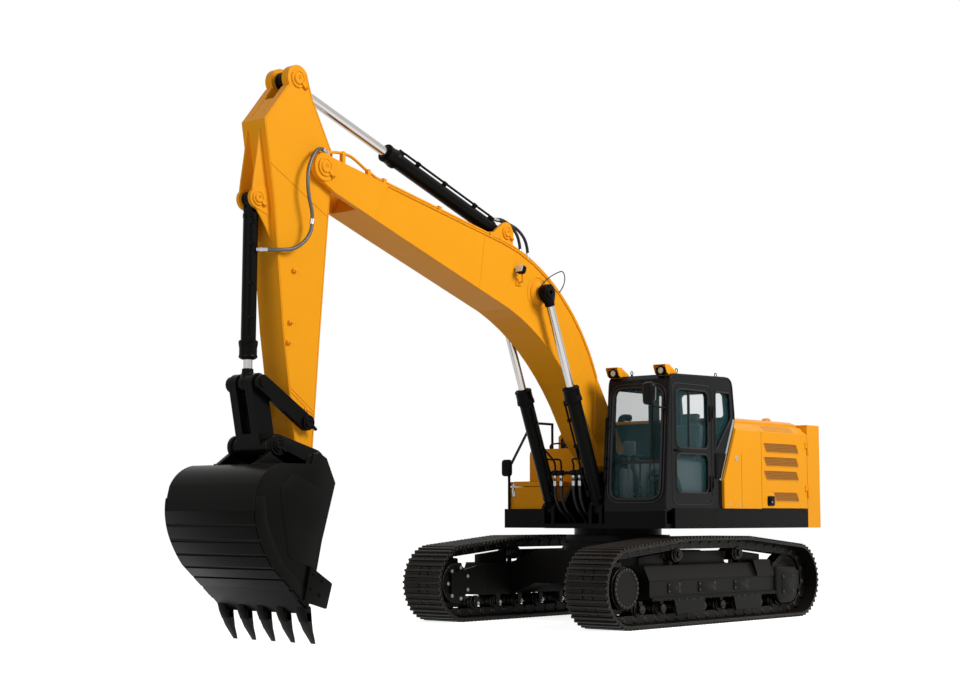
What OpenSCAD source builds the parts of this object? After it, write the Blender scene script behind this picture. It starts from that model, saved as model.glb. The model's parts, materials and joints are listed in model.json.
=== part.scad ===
// Crawler excavator of the thirty tonne class, with backhoe boom, arm and bucket.
// X points forward along the boom, Y to the cab side, Z up, in millimetres.
// The origin is on the ground under the slew axis.

/* [Undercarriage] */
// Length of a track over its ends
track_len = 4940; // [4400:10:5400]
// Distance between the centre lines of the tracks
gauge = 2600; // [2400:10:2900]
// Width of a track shoe
shoe_w = 620; // [500:10:700]
// Radius of a track's ends over the grousers
track_end_r = 490; // [460:5:520]
// Height of the top run over the carrier rollers
track_hump_z = 1092; // [1060:2:1120]
// Number of shoes on a track
shoe_count = 48; // [40:1:56]
// Height of the grouser bars on a shoe
grouser_h = 28; // [15:1:36]
// Thickness of a shoe plate
shoe_t = 22; // [14:1:30]
// Height of the chain links under the shoes
link_h = 80; // [60:1:90]
// Width of the chain
link_w = 200; // [150:5:230]
// Number of bottom rollers on a side
roller_count = 8; // [6:1:9]
// Radius of the bottom rollers
roller_r = 92; // [80:1:100]
// Distance of a carrier roller from mid length
carrier_x = 700; // [500:10:900]

/* [House] */
// Width over the side panels
house_w = 2990; // [2800:10:3100]
// Height of the deck's underside
deck_z = 1190; // [1170:5:1230]
// Height of the black skirt round the deck
skirt_h = 255; // [200:5:300]
// Distance of the rear skirt's end behind the slew axis
house_back = 2420; // [2300:10:2600]
// Depth of the counterweight behind the house
tail_depth = 720; // [600:10:860]
// Height of the engine hood's flat top
hood_z = 2650; // [2600:5:2750]
// Thickness of the side panels and doors
panel_t = 40; // [30:1:60]
// Radius of the slew bearing
slew_r = 690; // [600:10:760]
// Front edge of the right hand deck
right_front = 560; // [450:10:700]

/* [Cab] */
// Inner side of the cab, next to the boom
cab_y0 = 525; // [515:5:560]
// Outer side of the cab
cab_y1 = 1450; // [1400:5:1455]
// Front of the cab at floor level
cab_front = 1015; // [950:5:1100]
// Length of the cab from front to its rear upper corner
cab_len = 1635; // [1600:5:1700]
// Top of the cab roof
cab_top = 3150; // [3050:5:3250]
// Thickness of the cab's walls
cab_wall = 60; // [50:1:80]

/* [Boom] */
// Boom foot pin, forward of the slew axis
foot_x = 150; // [100:5:200]
// Boom foot pin, above the ground
foot_z = 2050; // [2000:5:2100]
// Boom length from foot pin to tip pin
boom_len = 6371; // [6200:1:6500]
// Rise of the boom's chord as it stands
boom_deg = 28.86; // [24:0.01:34]
// Width of the boom
boom_w = 500; // [440:5:510]
// Thickness of the boom's plates
boom_wall = 18; // [12:1:30]

/* [Arm] */
// Arm length from boom tip pin to bucket pin
arm_len = 3251; // [3000:1:3400]
// Lean of the arm's line from the vertical as it stands
arm_lean = 3.35; // [0:0.01:8]
// Width of the arm
arm_w = 360; // [320:2:364]
// Thickness of the arm's plates
arm_wall = 16; // [10:1:26]

/* [Bucket] */
// Radius from the bucket pin to the tooth tips
tip_r = 1862; // [1700:1:1900]
// Lean of the tip line from the vertical as it stands
bucket_lean = 7.5; // [2:0.1:14]
// Width of the bucket
bucket_w = 1380; // [1100:10:1600]
// Thickness of the bucket's shell
shell_t = 28; // [20:1:36]
// Thickness of the side plates
side_t = 32; // [24:1:40]
// Number of teeth
tooth_count = 5; // [4:1:6]
// Width of a tooth at its adapter
tooth_w = 120; // [90:5:140]

/* [Cylinders] */
// Outer radius of the boom cylinder barrels
boom_barrel_r = 92; // [80:1:98]
// Outer radius of the arm cylinder barrel
arm_barrel_r = 92; // [80:1:100]
// Outer radius of the bucket cylinder barrel
bucket_barrel_r = 80; // [70:1:90]
// Boom cylinder barrel, from base pin to gland face
boom_barrel_len = 1658; // [1600:1:1700]
// Arm cylinder barrel, from base pin to gland face
arm_barrel_len = 2140; // [2060:1:2200]
// Bucket cylinder rod that shows, from gland face to eye pin
bucket_rod_out = 271; // [230:1:320]
// Distance of the boom cylinders from the mid plane
boom_cyl_y = 385; // [380:1:390]

/* [Hidden] */

$fn = 48;
yellow = "#f2a81d";
black = "#1d1d1f";
steel = "#c9ccd0";
iron = "#2b2a29";
glass = "#7fb0b0";

// Overrun of every cut past the face that it leaves
over = 20;
// Running clearance round a hinge pin
pin_gap = 0.5;
// Clearance at seats that stay apart
seat_gap = 0.4;
// Clearance between pieces that swing past each other
swing_gap = 8;

// Round values that several pieces share
function polar(r, a) = [r * cos(a), r * sin(a)];
function along(a, b, t) = a + (b - a) * t;
function mean(a, b) = (a + b) / 2;
function turn(p, a) = [p[0] * cos(a) - p[1] * sin(a), p[0] * sin(a) + p[1] * cos(a)];
function heading(a, b) = atan2(b[1] - a[1], b[0] - a[0]);
function unit(v) = v / norm(v);
function reversed(list) = [for (i = [len(list) - 1:-1:0]) list[i]];
// Quadratic curve from a to c drawn towards b
function bend(a, b, c, steps) = [for (i = [0:steps]) let (t = i / steps)
    a * (1 - t) * (1 - t) + b * 2 * t * (1 - t) + c * t * t];
// Corner of an outline moved inwards by d, the outline running anticlockwise
function corner_in(p, q, r, d) =
    let (a = unit(q - p), b = unit(r - q), m = [-a[1], a[0]], n = [-b[1], b[0]])
    q + (m + n) * d / (1 + m * n);
function inset(pts, d) = let (k = len(pts))
    [for (i = [0:k - 1]) corner_in(pts[(i + k - 1) % k], pts[i], pts[(i + 1) % k], d)];
// Arc that rounds the corner b between a and c, its ends t from the corner: centre, radius, start, sweep
function corner_arc(a, b, c, t) =
    let (u = unit(a - b), v = unit(c - b), half = acos(u * v) / 2, m = b + unit(u + v) * t / cos(half),
        a0 = heading(m, b + u * t), a1 = heading(m, b + v * t))
    [m, t * tan(half), a0, (a1 - a0 + 540) % 360 - 180];
function arc_points(arc, steps) = [for (i = [0:steps]) arc[0] + polar(arc[1], arc[2] + arc[3] * i / steps)];
// Open path moved to its left by d
function shifted(pts, d) = let (k = len(pts)) [for (i = [0:k - 1])
    i == 0 ? pts[0] + turn(unit(pts[1] - pts[0]), 90) * d
    : i == k - 1 ? pts[i] + turn(unit(pts[i] - pts[i - 1]), 90) * d
    : corner_in(pts[i - 1], pts[i], pts[i + 1], d)];
function rounded_box(x0, x1, y0, y1, r, steps) = [for (c = [[x1 - r, y0 + r, -90], [x1 - r, y1 - r, 0],
    [x0 + r, y1 - r, 90], [x0 + r, y0 + r, 180]]) for (i = [0:steps])
    [c[0], c[1]] + polar(r, c[2] + 90 * i / steps)];

// Side view profile drawn out across the machine, from y0 to y1
module slab(y0, y1) { translate([0, y1, 0]) rotate([90, 0, 0]) linear_extrude(y1 - y0) children(); }
// Front view profile drawn out along the machine, from x0 to x1
module beam(x0, x1) { translate([x0, 0, 0]) rotate([90, 0, 90]) linear_extrude(x1 - x0) children(); }
module block(a, b) { translate(a) cube(b - a); }
module both() { children(); mirror([0, 1, 0]) children(); }
// Round bar across the machine at a side view point
module bar(p, r, y0, y1) { translate([p[0], y1, p[1]]) rotate([90, 0, 0]) cylinder(r = r, h = y1 - y0); }
// Round bar between two points
module rod(a, b, r) {
    d = b - a;
    translate(a) rotate([0, acos(d[2] / norm(d)), atan2(d[1], d[0])]) cylinder(r = r, h = norm(d));
}
// Bent tube, its stretches lengthened at each bend so that they join
module tube(points, r) {
    last = len(points) - 1;
    for (i = [0:last - 1]) {
        d = (points[i + 1] - points[i]) / norm(points[i + 1] - points[i]);
        rod(points[i] - (i == 0 ? 0 : r / 2) * d, points[i + 1] + (i == last - 1 ? 0 : r / 2) * d, r);
    }
}
// Flat link with round ends of radius ra at a and rb at b
module link_shape(a, ra, b, rb) {
    psi = heading(a, b);
    beta = acos((ra - rb) / norm(b - a));
    translate(a) circle(r = ra);
    translate(b) circle(r = rb);
    polygon([a + polar(ra, psi + beta), a + polar(ra, psi - beta), b + polar(rb, psi - beta),
        b + polar(rb, psi + beta)]);
}

// Track loop, from the chain's bottom run round the front end
loop_r = track_end_r - grouser_h;
end_x = track_len / 2 - track_end_r;
bend_r = 160;
hump_c = [carrier_x, track_hump_z - grouser_h - bend_r];
end_c = [end_x, track_end_r];
rise_a = heading(hump_c, end_c) + acos((bend_r - loop_r) / norm(end_c - hump_c));
function flip(p) = [-p[0], p[1]];
rise = [end_c + polar(loop_r, rise_a), hump_c + polar(bend_r, rise_a)];
function arc_len(r, a) = PI * r * a / 180;
// Each stretch: length, start and end of its centre, radius, start and end of its outward angle
loop_runs = [
    [2 * end_x, [-end_x, grouser_h], [end_x, grouser_h], 0, -90, -90],
    [arc_len(loop_r, rise_a + 90), end_c, end_c, loop_r, -90, rise_a],
    [norm(rise[1] - rise[0]), rise[0], rise[1], 0, rise_a, rise_a],
    [arc_len(bend_r, 90 - rise_a), hump_c, hump_c, bend_r, rise_a, 90],
    [2 * carrier_x, hump_c + [0, bend_r], flip(hump_c) + [0, bend_r], 0, 90, 90],
    [arc_len(bend_r, 90 - rise_a), flip(hump_c), flip(hump_c), bend_r, 90, 180 - rise_a],
    [norm(rise[1] - rise[0]), flip(rise[1]), flip(rise[0]), 0, 180 - rise_a, 180 - rise_a],
    [arc_len(loop_r, rise_a + 90), flip(end_c), flip(end_c), loop_r, 180 - rise_a, 270]];
function total(list, i = 0) = i == len(list) ? 0 : list[i][0] + total(list, i + 1);
loop_len = total(loop_runs);
function run_point(run, t, off) = along(run[1], run[2], t)
    + polar(run[3] + off, run[4] + (run[5] - run[4]) * t);
function loop_point(s, off, i = 0) = s <= loop_runs[i][0] || i == len(loop_runs) - 1
    ? run_point(loop_runs[i], s / loop_runs[i][0], off) : loop_point(s - loop_runs[i][0], off, i + 1);
end_steps = 14;
function loop_inside(off) = [for (run = loop_runs)
    let (n = run[3] == 0 ? 1 : run[3] == bend_r ? 2 : end_steps)
    for (i = [0:n - 1]) run_point(run, i / n, -off)];
bars_a_shoe = 3;
bar_pitch = loop_len / shoe_count / bars_a_shoe;
bar_foot_share = 0.56;
bar_tip_share = 0.24;
bar_shares = [[-bar_foot_share, 0], [-bar_tip_share, 1], [bar_tip_share, 1], [bar_foot_share, 0]];
shoe_outline = [for (i = [0:shoe_count * bars_a_shoe - 1]) for (k = bar_shares)
    loop_point((i + 1 / 2 + k[0] / 2) * bar_pitch, k[1] * grouser_h)];

module track() {
    color(iron) {
        slab(-shoe_w / 2, shoe_w / 2) difference() {
            polygon(shoe_outline);
            polygon(loop_inside(shoe_t));
        }
        slab(-link_w / 2, link_w / 2) difference() {
            polygon(loop_inside(shoe_t / 2));
            polygon(loop_inside(shoe_t + link_h));
        }
    }
}
module on_left() { translate([0, gauge / 2, 0]) children(); }
module on_right() { translate([0, -gauge / 2, 0]) children(); }
module on_tracks() { on_left() children(); mirror([0, 1, 0]) on_left() children(); }
module track_left() { on_left() track(); }
module track_right() { on_right() track(); }

// Running gear inside the loop
chain_in = grouser_h + shoe_t + link_h;
roller_z = chain_in + roller_r + seat_gap;
roller_gap_share = 0.84;
roller_span = 2 * end_x * roller_gap_share - 2 * roller_r;
frame_z0 = roller_z + roller_r + swing_gap;
frame_z1 = 735;
frame_half = 165;
frame_lip = 240;
frame_slope_z = 560;
frame_x_share = 0.73;
frame_x = end_x * frame_x_share;
hanger_w = 60;
hanger_t = 30;
roller_w = 250;
tread_r_share = 0.86;
chain_slack = 3;
wheel_r = track_end_r - chain_in - chain_slack;
axle_r = 45;
module roller(p) {
    bar(p, roller_r * tread_r_share, -roller_w / 2, roller_w / 2);
    for (s = [-1, 1]) bar(p, roller_r, s * roller_w / 4 - hanger_t, s * roller_w / 4 + hanger_t);
    bar(p, axle_r, -frame_half, frame_half);
}
module rollers() {
    color(iron) on_tracks() {
        for (i = [0:roller_count - 1]) {
            x = -roller_span / 2 + i * roller_span / (roller_count - 1);
            roller([x, roller_z]);
            for (y = [-frame_half, frame_half - hanger_t])
                block([x - hanger_w / 2, y, roller_z - hanger_w / 2],
                    [x + hanger_w / 2, y + hanger_t, frame_z0]);
        }
        for (x = [-carrier_x, carrier_x]) {
            z = track_hump_z - chain_in - roller_r - seat_gap;
            roller([x, z]);
            block([x - hanger_w / 2, -hanger_t / 2, frame_z1], [x + hanger_w / 2, hanger_t / 2, z]);
        }
    }
}
hub_r = 250;
hub_out = 215;
hub_t = 70;
sprocket_teeth = 21;
sprocket_tooth_h = 34;
sprocket_tooth_shares = [[0.14, 0], [0.36, 1], [0.64, 1], [0.86, 0]];
rim_t = 70;
module sprockets() {
    color(iron) on_tracks() {
        slab(-rim_t / 2, rim_t / 2) translate(end_c) difference() {
            polygon([for (i = [0:sprocket_teeth - 1]) for (k = sprocket_tooth_shares)
                polar(wheel_r - k[1] * sprocket_tooth_h, 360 * (i + k[0]) / sprocket_teeth)]);
            circle(r = hub_r - hub_t);
        }
        difference() {
            union() {
                bar(end_c, hub_r, -frame_half, hub_out);
                bar(end_c, hub_r - hub_t, hub_out, hub_out + hub_t / 2);
            }
            bar(end_c, axle_r, hub_out, hub_out + hub_t);
        }
    }
}
module idlers() {
    idler_w = 150;
    rim = 60;
    color(iron) on_tracks() {
        difference() {
            bar(flip(end_c), wheel_r, -idler_w / 2, idler_w / 2);
            for (s = [-1, 1]) translate([0, s * idler_w / 2, 0])
                bar(flip(end_c), wheel_r - rim, -rim / 2, rim / 2);
        }
        bar(flip(end_c), axle_r * 2, -frame_half + seat_gap, frame_half - seat_gap);
    }
}
cheek_t = 40;
nose_z0 = track_end_r - hub_r / 2;
nose_z1 = track_end_r + hub_r / 2;
guard_xs = [-740, 620];
guard_len = 700;
guard_lean = 60;
guard_z = 150;
guard_t = 14;
cover_x = -1420;
cover_len = 420;
cover_rise = 40;
cover_out = 20;
module track_frames() {
    yoke_x = end_x + 3 * axle_r;
    drive_x = end_x + hub_r / 2;
    out = frame_half + cheek_t;
    color(iron) on_tracks() {
        beam(-frame_x, frame_x) polygon([[-frame_half, frame_z0], [frame_lip, frame_z0],
            [frame_lip, frame_z0 + cheek_t], [out, frame_z0 + cheek_t], [out, frame_slope_z],
            [frame_half - cheek_t, frame_z1], [-frame_half, frame_z1]]);
        for (x = guard_xs) slab(frame_lip - guard_t, frame_lip)
            polygon([[x - guard_len / 2, frame_z0 + cheek_t / 2],
            [x - guard_len / 2 + guard_lean, guard_z], [x + guard_len / 2 - guard_lean, guard_z],
            [x + guard_len / 2, frame_z0 + cheek_t / 2]]);
        beam(cover_x, cover_x + cover_len) polygon([[frame_half / 3, frame_slope_z],
            [out + cover_out, frame_slope_z],
            [out + cover_out, frame_slope_z + cheek_t], [frame_half, frame_z1 + cover_rise],
            [frame_half / 3, frame_z1 + cover_rise]]);
        for (y = [-out, frame_half]) slab(y, y + cheek_t) polygon([[-yoke_x, nose_z0],
            [over - frame_x, frame_z0], [over - frame_x, frame_z1], [-yoke_x, nose_z1]]);
        slab(-out, -frame_half) polygon([[frame_x - over, frame_z0], [drive_x, nose_z0],
            [drive_x, nose_z1], [frame_x - over, frame_z1]]);
    }
}
body_r = 720;
body_z1 = 1005;
leg_x = 860;
leg_w = 420;
leg_z = 900;
leg_low = 470;
tow_r = 40;
tow_t = 70;
tow_z = 520;
tow_half = 90;
module car_body() {
    reach = gauge / 2 - frame_half;
    tow_x = leg_x + tow_half;
    color(iron) difference() {
        union() {
            translate([0, 0, leg_low]) cylinder(r = body_r, h = body_z1 - leg_low);
            for (x = [-leg_x, leg_x - leg_w]) beam(x, x + leg_w)
                polygon([[-reach, frame_z0], [-body_r, leg_low], [body_r, leg_low], [reach, frame_z0],
                    [reach, frame_z1], [body_r, leg_z], [-body_r, leg_z], [-reach, frame_z1]]);
            translate([0, 0, tow_z - tow_t / 2]) linear_extrude(tow_t) polygon([[leg_x - over, tow_half],
                [leg_x - over, -tow_half], [tow_x, -tow_half], [tow_x + tow_half, 0], [tow_x, tow_half]]);
        }
        translate([tow_x, 0, tow_z - tow_t]) cylinder(r = tow_r, h = 2 * tow_t);
    }
}
race_z = 1100;
race_wall = 110;
module slew_ring() {
    color(black) difference() {
        translate([0, 0, body_z1]) cylinder(r = slew_r, h = race_z - body_z1, $fn = 96);
        translate([0, 0, body_z1 - over]) cylinder(r = slew_r - race_wall, h = race_z - body_z1 + 2 * over);
    }
}

// Pins of the digging gear, side view
foot = [foot_x, foot_z];
tip = foot + polar(boom_len, boom_deg);
arm_a = arm_lean - 90;
knee = tip + polar(arm_len, arm_a);
bucket_a = bucket_lean - 90;
function boom_at(s) = foot + turn(s * boom_len, boom_deg);
function arm_at(s) = tip + turn(s * arm_len, arm_a);
function bucket_at(s) = knee + turn(s * tip_r, bucket_a);
arm_foot_share = [0.5324, 0.2054];
boom_eye_share = [0.4101, 0.1436];
arm_eye_share = [-0.278, 0.1211];
bucket_foot_share = [0.1516, 0.2469];
rocker_share = [0.862, 0.0142];
ear_share = [-0.0643, 0.2907];
arm_foot = boom_at(arm_foot_share);
boom_eye = boom_at(boom_eye_share);
arm_eye = arm_at(arm_eye_share);
bucket_foot = arm_at(bucket_foot_share);
rocker_foot = arm_at(rocker_share);
ear = bucket_at(ear_share);
// Boom cylinder base pin, forward of and below the foot pin
base_out = 750;
base_drop = 630;
boom_base = [foot_x + base_out, foot_z - base_drop];
rocker_len = 746;
link_len = 664;
// Top pin of the rocker, where its circle meets that of the link
span = norm(ear - rocker_foot);
top_a = heading(rocker_foot, ear)
    + acos((rocker_len * rocker_len + span * span - link_len * link_len) / (2 * rocker_len * span));
top_pin = rocker_foot + polar(rocker_len, top_a);

// Slices across the machine at the bucket linkage
eye_half = 62;
fork_in = eye_half + swing_gap;
rocker_in = arm_w / 2 + swing_gap;
rocker_t = 62;
ear_in = rocker_in + rocker_t + 2 * swing_gap;
ear_t = 62;
cap_t = 14;
pin_r = 48;
big_pin_r = 58;

// Upright hinge, half on the fixed side and half on the moving one above it
knuckle_r = 14;
knuckle_h = 80;
leaf_w = 60;
module upright_half(axis, z, side) {
    x0 = side > 0 ? axis[0] : axis[0] - leaf_w;
    translate([axis[0], axis[1], z]) cylinder(r = knuckle_r, h = knuckle_h);
    block([x0, axis[1] - knuckle_r - pin_gap, z], [x0 + leaf_w, axis[1], z + knuckle_h]);
}
module fixed_halves(axis, zs) { for (z = zs) upright_half(axis, z, -1); }
module moving_halves(axis, zs) { for (z = zs) upright_half(axis, z + knuckle_h + pin_gap, 1); }

// Upper frame
deck_t = 60;
side_y = house_w / 2;
skirt_t = 40;
bracket_in = boom_w / 2 + 2 * swing_gap + cap_t;
bracket_t = 46;
foot_boss_r = 170;
base_boss_r = 120;
base_eye_half = 52;
outer_plate = boom_cyl_y + base_eye_half + swing_gap / 2;
deck_top = deck_z + deck_t;
skirt_top = deck_z + skirt_h;
cab_z0 = skirt_top - skirt_t;
skirt_front = 860;
mast_back = 620;
mast_base_a = 140;
mast_foot_as = [50, 130];

// Side bodywork: a wall with a bevelled shoulder, doors behind it and a hood on top
shoulder_z = 2470;
shoulder_w = 110;
wall_split = -1200;
wall_front = -646;
lock_gap = 8;
wall_back = -house_back + lock_gap;
wall_top = hood_z - 2 * panel_t;
fire_t = 28;
hood_front = wall_front - fire_t - lock_gap;
hood_y = side_y - shoulder_w - swing_gap - panel_t;
hood_axis = [hood_front + knuckle_r, hood_z - knuckle_r];
hood_hinge_ys = [-800, 720];
door_hinge_share = [0.16, 0.74];
bay_axis = [wall_back, side_y + knuckle_r];
bay_hinge_zs = [for (k = door_hinge_share) along(skirt_top, shoulder_z, k)];
module deck_plan() {
    base_out_y = bracket_in + bracket_t + base_boss_r;
    polygon([[cab_front, side_y - skirt_t], [-house_back, side_y - skirt_t], [-house_back, -side_y],
        [right_front, -side_y], [right_front, -base_out_y], [cab_front, -base_out_y]]);
}
module base_plate() {
    low = deck_top - over;
    polygon([[boom_base[0] - base_boss_r, low], [boom_base[0] + base_boss_r, low],
        boom_base + [base_boss_r, 0], boom_base - [base_boss_r, 0]]);
    translate(boom_base) circle(r = base_boss_r);
}
module mast_plate() {
    low = deck_top - over;
    polygon([[-mast_back, low], [boom_base[0] + base_boss_r, low], boom_base + polar(base_boss_r, 0),
        boom_base + polar(base_boss_r, mast_base_a), foot + polar(foot_boss_r, mast_foot_as[0]),
        foot + polar(foot_boss_r, mast_foot_as[1])]);
    translate(foot) circle(r = foot_boss_r);
    translate(boom_base) circle(r = base_boss_r);
}
// Plate between the cab and the engine bay, with the hood's hinges on its top edge
module firewall() {
    y = side_y - panel_t - seat_gap;
    beam(wall_front - fire_t, wall_front) {
        polygon([[-y, deck_top - over], [y, deck_top - over], [y, shoulder_z - panel_t],
            [y - shoulder_w, wall_top - panel_t],
            [shoulder_w - y, wall_top - panel_t], [-y, shoulder_z - panel_t]]);
        polygon([[-hood_y, wall_top - 2 * panel_t], [hood_y, wall_top - 2 * panel_t],
            [hood_y - shoulder_w, hood_axis[1] - 2 * knuckle_r],
                [shoulder_w - hood_y, hood_axis[1] - 2 * knuckle_r]]);
    }
    for (y0 = hood_hinge_ys) {
        bar(hood_axis, knuckle_r, y0, y0 + knuckle_h);
        block([hood_axis[0], y0, hood_axis[1] - 3 * knuckle_r],
            [hood_axis[0] + knuckle_r, y0 + knuckle_h, hood_axis[1]]);
    }
}
module upper_frame() {
    base_out_y = bracket_in + bracket_t + base_boss_r;
    color(black) {
        translate([0, 0, race_z + pin_gap]) cylinder(r = slew_r - race_wall, h = deck_z - race_z, $fn = 96);
        translate([0, 0, deck_z]) linear_extrude(deck_t) deck_plan();
        block([-house_back, side_y - skirt_t, deck_z], [skirt_front, side_y, skirt_top]);
        block([-house_back, -side_y, deck_z], [right_front, skirt_t - side_y, skirt_top]);
        block([cab_front - skirt_t, cab_y0, deck_top - over], [cab_front, cab_y1, cab_z0]);
        block([wall_front, cab_y0, deck_top - over], [wall_front + 2 * skirt_t, cab_y1, cab_z0]);
        block([right_front - skirt_t, -side_y, deck_z], [right_front, -base_out_y, skirt_top]);
        both() {
            slab(bracket_in, bracket_in + bracket_t) mast_plate();
            slab(outer_plate, outer_plate + bracket_t) base_plate();
            bar(boom_base, pin_r, bracket_in, outer_plate + bracket_t + cap_t);
        }
        bar(foot, big_pin_r, -bracket_in - bracket_t - cap_t, bracket_in + bracket_t + cap_t);
        firewall();
    }
}
tail_r = house_back + tail_depth;
chin = 120;
crown = 160;
swell_steps = 12;
lift_r = 32;
lift_back = 250;
lift_x = -house_back - lift_back;
lift_y = 700;
lift_h = 90;
module counterweight() {
    swell_deg = asin(side_y / tail_r);
    high = hood_z - panel_t;
    face = -house_back - seat_gap;
    color(yellow) {
        difference() {
            union() {
                intersection() {
                    translate([0, 0, deck_z]) linear_extrude(high - deck_z)
                        polygon(concat([[face, -side_y], [face, side_y]], [for (i = [0:swell_steps])
                            polar(tail_r, 180 + swell_deg * (2 * i / swell_steps - 1))]));
                    slab(-tail_r, tail_r) polygon([[-house_back, deck_z], [-house_back, high],
                        [2 * crown - tail_r, high], [-tail_r, high - crown], [-tail_r, deck_z + chin],
                            [chin - tail_r, deck_z]]);
                }
                for (y = [-lift_y, lift_y]) slab(y - tow_t / 2, y + tow_t / 2)
                    link_shape([lift_x, high], lift_h, [lift_x, high + lift_h / 2], lift_h);
            }
            for (y = [-lift_y, lift_y]) bar([lift_x, high + lift_h / 2], lift_r, y - tow_t, y + tow_t);
        }
        both() fixed_halves(bay_axis, bay_hinge_zs);
    }
}
module wall_section(low) {
    polygon([[side_y, low], [side_y, shoulder_z], [side_y - shoulder_w, wall_top],
        [side_y - shoulder_w - panel_t, wall_top],
        [side_y - panel_t, shoulder_z - panel_t / 2], [side_y - panel_t, low]]);
}
grille_z0s_share = [0.74, 0.56, 0.38, 0.10];
grille_h_share = 0.115;
grille_x0 = -1330;
grille_x1 = -2180;
grille_skew = 70;
slat_count = 4;
slat_t = 8;
function wall_z(share) = along(skirt_top, shoulder_z, share);
module grille_cuts() {
    for (k = grille_z0s_share) slab(side_y - 2 * panel_t, side_y + over) polygon([
        [grille_x0, wall_z(k)], [grille_x0 + grille_skew, wall_z(k + grille_h_share)],
        [grille_x1 + grille_skew, wall_z(k + grille_h_share)], [grille_x1, wall_z(k)]]);
}
module grille_slats() {
    for (k = grille_z0s_share) for (i = [1:slat_count]) {
        z = wall_z(k + grille_h_share * i / (slat_count + 1));
        block([grille_x1 - over, side_y - panel_t / 2, z - slat_t / 2],
            [grille_x0 + grille_skew + over, side_y - panel_t / 4, z + slat_t / 2]);
    }
}
module bay_door() {
    difference() {
        beam(wall_back, wall_split - lock_gap) wall_section(skirt_top + lock_gap);
        grille_cuts();
    }
    grille_slats();
    moving_halves(bay_axis, bay_hinge_zs);
}
module left_panel() {
    front = cab_rear_low[0];
    color(yellow) difference() {
        beam(wall_split, front) wall_section(skirt_top);
        slab(side_y - 2 * shoulder_w, side_y + over) polygon([[cab_rear_low[0] - swing_gap, skirt_top - over],
            cab_rear_low - [swing_gap, 0], cab_rear_mid - [swing_gap, 0],
                [cab_rear_mid[0] - swing_gap, hood_z],
            [front + over, hood_z], [front + over, skirt_top - over]]);
    }
}
module left_door() { color(yellow) bay_door(); }
module right_panel() { color(yellow) mirror([0, 1, 0]) beam(wall_split, wall_front) wall_section(skirt_top); }
module right_door() { color(yellow) mirror([0, 1, 0]) bay_door(); }
module engine_hood() {
    color(yellow) {
        difference() {
            beam(wall_back, hood_front) polygon([[-hood_y, wall_top], [hood_y, wall_top],
                [hood_y, wall_top + panel_t],
                [hood_y - shoulder_w, hood_z], [shoulder_w - hood_y, hood_z], [-hood_y, wall_top + panel_t]]);
            block([wall_back + panel_t, panel_t - hood_y, wall_top - over],
                [hood_front - panel_t, hood_y - panel_t, wall_top + panel_t]);
        }
        for (y = hood_hinge_ys) {
            y0 = y + knuckle_h + pin_gap;
            bar(hood_axis, knuckle_r, y0, y0 + knuckle_h);
            block([hood_front - over, y0, hood_axis[1] - knuckle_r],
                [hood_axis[0], y0 + knuckle_h, hood_axis[1]]);
        }
    }
}
engine_back = -2200;
engine_len = 1050;
engine_w = 1040;
engine_h = 830;
module engine() {
    color(iron) block([engine_back, -engine_w / 2, deck_top],
        [engine_back + engine_len, engine_w / 2, deck_top + engine_h]);
}
tank_front = 60;
tank_y0 = 560;
tank_z1 = 2270;
tank_round = 80;
round_steps = 4;
module fuel_tank() {
    color(yellow) beam(wall_front + seat_gap, tank_front)
        polygon(rounded_box(skirt_t + seat_gap - side_y, -tank_y0, deck_top, tank_z1, tank_round,
            round_steps));
}
box_back = tank_front + 2 * knuckle_r + 2 * swing_gap;
box_front = right_front - skirt_t - swing_gap;
box_y0 = 720;
box_y1 = side_y - skirt_t - seat_gap;
box_z1 = 1812;
box_lid_t = 70;
box_wall = 25;
box_rim = box_z1 - box_lid_t;
box_axis = [box_back - knuckle_r, box_z1 - knuckle_r];
box_hinge_ys = [-1380, -960];
module toolbox() {
    color(yellow) {
        difference() {
            block([box_back, -box_y1, deck_top], [box_front, -box_y0, box_rim]);
            block([box_back + box_wall, box_wall - box_y1, deck_top + box_wall],
                [box_front - box_wall, -box_y0 - box_wall, box_rim + over]);
        }
        for (y = box_hinge_ys) {
            bar(box_axis, knuckle_r, y, y + knuckle_h);
            block([box_axis[0] - knuckle_r, y, box_rim - leaf_w], [box_axis[0], y + knuckle_h, box_axis[1]]);
            block([box_axis[0] - knuckle_r, y, box_rim - leaf_w],
                [box_back + box_wall / 2, y + knuckle_h, box_rim - box_wall]);
        }
    }
}
module toolbox_lid() {
    color(yellow) {
        difference() {
            block([box_back, -box_y1, box_rim + lock_gap], [box_front, -box_y0, box_z1]);
            block([box_back + box_wall, box_wall - box_y1, box_rim - over],
                [box_front - box_wall, -box_y0 - box_wall, box_z1 - box_wall]);
        }
        for (y = box_hinge_ys) {
            y0 = y + knuckle_h + pin_gap;
            bar(box_axis, knuckle_r, y0, y0 + knuckle_h);
            block([box_axis[0], y0, box_axis[1] - knuckle_r],
                [box_back + box_wall / 2, y0 + knuckle_h, box_axis[1]]);
        }
    }
}
rail_r = 18;
rail_y = 1430;
rail_x1 = 40;
rail_x2 = -420;
rail_z0 = 2000;
rail_z1 = 2640;
mirror_r = 72;
module handrails() {
    x0 = right_front - skirt_t / 2;
    mirror_c = [right_front + 3 * rail_r, 2 * rail_r - rail_y, rail_z0];
    color(black) {
        tube([[x0, -rail_y, skirt_top], [x0, -rail_y, rail_z0], [rail_x1, -rail_y, rail_z1],
            [rail_x2, -rail_y, rail_z1],
            [rail_x2, -rail_y, tank_z1]], rail_r);
        rod([x0, -rail_y, mean(rail_z0, skirt_top)], mirror_c, rail_r / 2);
        translate(mirror_c) rotate([0, 90, 0]) cylinder(r = mirror_r, h = rail_r);
    }
}

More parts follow.
